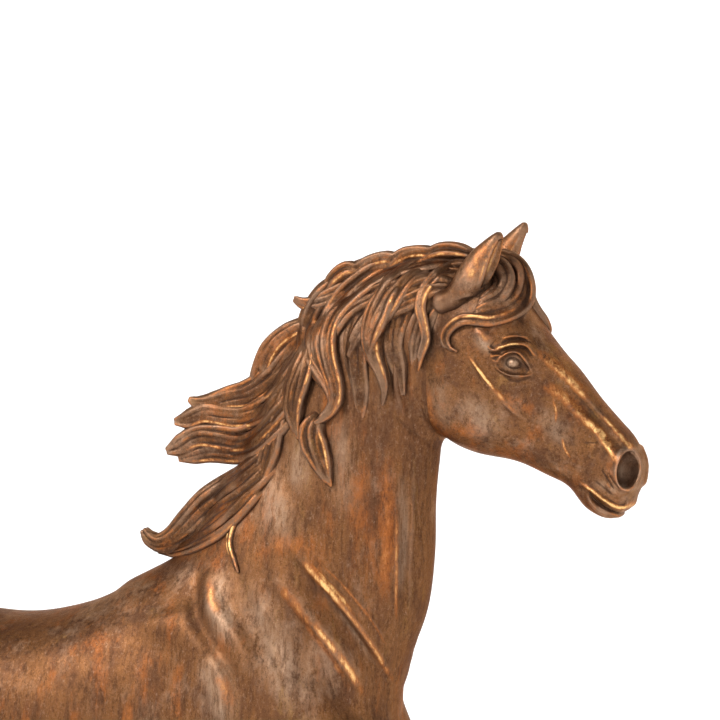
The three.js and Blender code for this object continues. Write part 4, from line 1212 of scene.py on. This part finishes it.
def bronze_ground(n, noise, depth):
    """Browns in soft patches, with rust, olive and dark and pale flecks."""
    def both(first, second):
        return n.math("MULTIPLY", first, second)

    glaze, mottle = noise["glaze"], noise["mottle"]
    brown = [c / depth for c in BRONZE["brown"]]
    warm = [c / depth for c in BRONZE["warm"]]
    colour = n.mix(n.span(noise["clouds"], 0.38, 0.6), brown, warm)
    pale = both(n.span(noise["patches"], 0.5, 0.64), n.span(mottle, 0.36, 0.6, 0.3, 1.0))
    colour = n.mix(both(pale, 0.7 / depth), colour, BRONZE["pale"])
    rust = both(n.span(glaze, 0.52, 0.64), n.span(mottle, 0.34, 0.56, 0.2, 1.0))
    colour = n.mix(both(rust, 0.5), colour, BRONZE["orange"])
    green = both(n.span(glaze, 0.44, 0.34), n.span(mottle, 0.4, 0.6, 0.1, 0.9))
    colour = n.mix(both(green, 0.6 / depth), colour, BRONZE["olive"])
    colour = n.mix(n.span(noise["brush"], 0.52, 0.34, 0.0, 0.6), colour, BRONZE["umber"])
    colour = n.mix(n.span(noise["flecks"], 0.47, 0.36, 0, 0.6), colour, BRONZE["umber"])
    return n.mix(n.span(noise["flecks"], 0.55, 0.68, 0, 0.5), colour, BRONZE["pale"])


def bronze_rubbed_and_highlight(n, noise, colour, ridge, fine):
    """Pale patches that are partly pale wear and partly painted highlight, broad ridges paled as
    rubbed high points and painted highlight, then orange and gold where lines and ridges are rubbed.
    """
    gilt = n.add("Attribute", attribute_name="gilt").outputs["Fac"]
    pale_and_highlight = n.add("Attribute", attribute_name="pale_and_highlight").outputs["Fac"]
    brush, mottle = noise["brush"], noise["mottle"]
    broken = n.math("ADD", n.span(mottle, 0.36, 0.6, 0.3, 0.85), n.span(brush, 0.4, 0.6, 0.0, 0.45))
    # Pale patches: partly pale wear, partly painted highlight on the bulges and a painted glint on the
    # eyes.
    pale_and_highlight_mask = n.math("MULTIPLY", pale_and_highlight, n.span(brush, 0.38, 0.6, 0.15, 0.8))
    colour = n.mix(pale_and_highlight_mask, colour, BRONZE["pale_wear_and_highlight"])
    rubbed = n.math("MULTIPLY", n.span(fine, 0.03, 0.16),
                    n.span(noise["clouds"], 0.42, 0.6, 0.1, 0.8))
    # Broad ridges painted paler: partly rubbed high points, partly painted highlight where light would
    # catch them.
    colour = n.mix(n.math("MULTIPLY", n.span(ridge, 0.15, 0.9), 0.35), colour, BRONZE["pale"])
    gold = n.math("MAXIMUM", n.math("MULTIPLY", gilt, broken), n.math("MULTIPLY", rubbed, 0.5))
    colour = n.mix(n.span(gold, 0.08, 0.5, 0, 0.7), colour, BRONZE["orange"])
    return n.mix(n.span(gold, 0.3, 0.9, 0, 0.9), colour, BRONZE["gold"])


def antique_bronze(name, stretch=1.0, depth=1.0, hollows=1.0, rough=0.25):
    """Patina: a mottled brown ground, umber patina in the hollows with painted shade from ambient
    occlusion on top, gold and orange on the ridges.

    stretch below 1 draws the fine marks out upwards; depth darkens the ground of deep relief;
    hollows is how strongly the grooves are painted; rough is the least roughness.
    """
    n = Nodes(name)
    ridge = n.add("Attribute", attribute_name="ridge").outputs["Fac"]
    fine = n.add("Attribute", attribute_name="ridge_fine").outputs["Fac"]
    noise = bronze_noises(n, stretch)
    colour = bronze_rubbed_and_highlight(n, noise, bronze_ground(n, noise, depth), ridge, fine)

    # Umber in the hollows: patina in the grooves from the ridge attributes, plus painted shade from ambient
    # occlusion in creases and between touching parts.
    hollow = n.math("MAXIMUM", n.span(ridge, -0.12, -1.1, 0, 0.85 * hollows),
                    n.span(fine, -0.02, -0.14, 0, hollows))
    painted_shade_occlusion = n.add("AmbientOcclusion", {"Distance": 0.011}, samples=8).outputs["AO"]
    hollow = n.math("MAXIMUM", hollow, n.span(painted_shade_occlusion, 0.82, 0.3))
    colour = n.mix(n.math("MULTIPLY", hollow, 0.88), colour, BRONZE["umber"])
    clouds, mottle, grain = noise["clouds"], noise["mottle"], noise["grain"]
    specks = n.math("MULTIPLY", n.span(grain, 0.56, 0.68), n.span(clouds, 0.36, 0.62, 0.1, 0.4))
    colour = n.mix(specks, colour, BRONZE["pale"])
    n.link(n.mix(n.span(grain, 0.44, 0.33, 0, 0.6), colour, BRONZE["umber"]), "Base Color")

    sheen = n.span(mottle, 0.3, 0.7, rough, rough + 0.2)
    n.link(n.math("ADD", sheen, n.math("MULTIPLY", hollow, 0.2)), "Roughness")
    n.link(n.math("SUBTRACT", 0.8, n.math("MULTIPLY", hollow, 0.4)), "Metallic")
    relief = n.bump(clouds, 0.35, 0.0012)
    relief = n.bump(mottle, 0.35, 0.0006, relief)
    relief = n.bump(noise["flecks"], 0.35, 0.0003, relief)
    n.link(n.bump(grain, 0.25, 0.0002, relief), "Normal")
    return n.finished({"Specular Tint": (0.62, 0.42, 0.3, 1)})


def dark_wood():
    """Close dark grain along the plinth, with darker pores and a thin wax."""
    n = Nodes("dark_wood")
    rings = n.noise(55, 6, 0.6, stretch=(0.12, 1, 1))
    pores = n.noise(900, 3, 0.6, stretch=(0.08, 1, 1), lift=4.0)
    colour = n.mix(n.span(rings, 0.35, 0.65), (0.026, 0.012, 0.006), (0.085, 0.036, 0.015))
    colour = n.mix(n.span(pores, 0.58, 0.68, 0, 0.8), colour, (0.008, 0.004, 0.003))
    n.link(colour, "Base Color")
    n.link(n.span(pores, 0.4, 0.7, 0.42, 0.62), "Roughness")
    n.link(n.bump(pores, 0.3, 0.0002), "Normal")
    return n.finished({"Specular IOR Level": 0.35, "Coat Weight": 0.08, "Coat Roughness": 0.3})


def two_tone(name, noise, colours, bump, constants, rough=None):
    """A plain material: one pattern between two colours, with its roughness and bump."""
    n = Nodes(name)
    pattern = n.noise(*noise)
    n.link(n.mix(n.span(pattern, 0.3, 0.7), *colours), "Base Color")
    n.link(n.bump(pattern, *bump), "Normal")
    if rough:
        n.link(n.span(pattern, 0.3, 0.7, *rough), "Roughness")
    return n.finished(constants)


MATERIALS = {
    "antique_bronze": antique_bronze("antique_bronze"),
    "brushed_skin": antique_bronze("brushed_skin", stretch=0.3, hollows=0.5, rough=0.34),
    "hair_bronze": antique_bronze("hair_bronze", depth=1.45),
    "dark_wood": dark_wood(),
    "steel": two_tone("steel", (700, 4, 0.7, (1, 1, 0.1)), ((0.42, 0.42, 0.41), (0.6, 0.6, 0.58)),
                      (0.2, 0.0001), {"Metallic": 1.0}, (0.22, 0.42)),
    "raw_bronze": two_tone("raw_bronze", (420, 5, 0.7), ((0.34, 0.21, 0.1), (0.55, 0.36, 0.18)),
                           (0.4, 0.0004), {"Metallic": 1.0}, (0.4, 0.7)),
    "felt": two_tone("felt", (1500, 4, 0.8), ((0.012, 0.014, 0.012), (0.05, 0.055, 0.05)),
                     (0.6, 0.0004), {"Roughness": 0.95, "Sheen Weight": 0.4}),
}


def dress_cad_nodes():
    """Gives every carried-over CAD node the material of its slot."""
    slots = {row["node"]: row["material_slot"] for row in frame["record"]["subparts"]}
    for name, node in frame["nodes"].items():
        node.data.materials.clear()
        node.data.materials.append(MATERIALS[slots[name]])


# ------------------------------------------------------------------ camera, light and stage
LOOK_AT = Vector((0.096, 0, 0.378))
CAMERA_AZIMUTH, CAMERA_HEIGHT = math.radians(20), math.radians(4)
CAMERA_DISTANCE = 1.8
LENS, SENSOR = 225, 36
FLOOR_RADIUS, COVE_RADIUS, WALL_HEIGHT, COVE_TURNS = 5.6, 1.4, 4.6, 96
STUDIO_GLOW, SKY_GLOW = 0.49, 0.4


def look_from(thing, place):
    """Turns a camera or light at a place towards the middle of the view, and adds it."""
    thing.location = place
    thing.rotation_euler = (Vector(place) - LOOK_AT).to_track_quat("Z", "Y").to_euler()
    bpy.context.collection.objects.link(thing)


def set_camera():
    data = bpy.data.cameras.new("camera")
    data.lens, data.sensor_width = LENS, SENSOR
    data.clip_start, data.clip_end = 0.05, 60
    camera = bpy.data.objects.new("camera", data)
    back = Vector((math.sin(CAMERA_AZIMUTH) * math.cos(CAMERA_HEIGHT),
                   -math.cos(CAMERA_AZIMUTH) * math.cos(CAMERA_HEIGHT), math.sin(CAMERA_HEIGHT)))
    look_from(camera, LOOK_AT + back * CAMERA_DISTANCE)
    bpy.context.scene.camera = camera


def cove_mesh():
    """A round floor that curves up into a wall."""
    profile = [(0.0, 0.0), (FLOOR_RADIUS, 0.0)]
    for angle in np.linspace(0, math.pi / 2, 10)[1:]:
        profile.append((FLOOR_RADIUS + COVE_RADIUS * math.sin(angle),
                        COVE_RADIUS * (1 - math.cos(angle))))
    profile.append((FLOOR_RADIUS + COVE_RADIUS, WALL_HEIGHT))
    turns = COVE_TURNS
    points, faces = [], []
    for radius, height in profile:
        for k in range(turns):
            angle = 2 * math.pi * k / turns
            points.append((radius * math.cos(angle), radius * math.sin(angle), height))
    for ring in range(0, (len(profile) - 1) * turns, turns):
        for k in range(turns):
            after = (k + 1) % turns
            faces.append((ring + k, ring + after, ring + turns + after, ring + turns + k))
    mesh = bpy.data.meshes.new("studio")
    mesh.from_pydata(points, [], faces)
    mesh.shade_smooth()
    return mesh


# Lights: (name, place, size, power).
LIGHTS = [("key", (-0.9, -1.5, 1.9), 0.6, 54), ("fill", (1.6, -1.2, 0.9), 1.2, 6),
          ("back", (0.6, 1.5, 1.8), 1.0, 10)]


def set_studio():
    """A round white cove all about the object, open above to a soft sky."""
    studio = bpy.data.objects.new("studio", cove_mesh())
    bpy.context.collection.objects.link(studio)
    white = Nodes("studio").finished({
        "Base Color": (0.9, 0.9, 0.9, 1), "Roughness": 0.9, "Emission Color": (1, 1, 1, 1),
        "Emission Strength": STUDIO_GLOW,
    })
    studio.data.materials.append(white)

    world = bpy.data.worlds.new("sky")
    world.use_nodes = True
    background = world.node_tree.nodes["Background"]
    background.inputs["Color"].default_value = (1, 1, 1, 1)
    background.inputs["Strength"].default_value = SKY_GLOW
    bpy.context.scene.world = world
    for name, place, size, power in LIGHTS:
        data = bpy.data.lights.new(name, "AREA")
        data.shape, data.size, data.energy = "DISK", size, power
        look_from(bpy.data.objects.new(name, data), place)
    bpy.context.scene.view_settings.view_transform = "Standard"


set_camera()
set_studio()
dress_cad_nodes()
build_head()
build_neck()
build_body()
for leg_name, (leg_sections, leg_seam) in LEGS.items():
    build_leg(leg_name, leg_sections, leg_seam)
build_ear("right_ear", RIGHT, -0.1, -0.2)
build_ear("left_ear", LEFT, 0.15, 0.25)
for hair_name, hair_locks in HAIR.items():
    build_hair(hair_name, hair_locks, FORELOCK_CORES if hair_name == "forelock" else ())
build_tail()
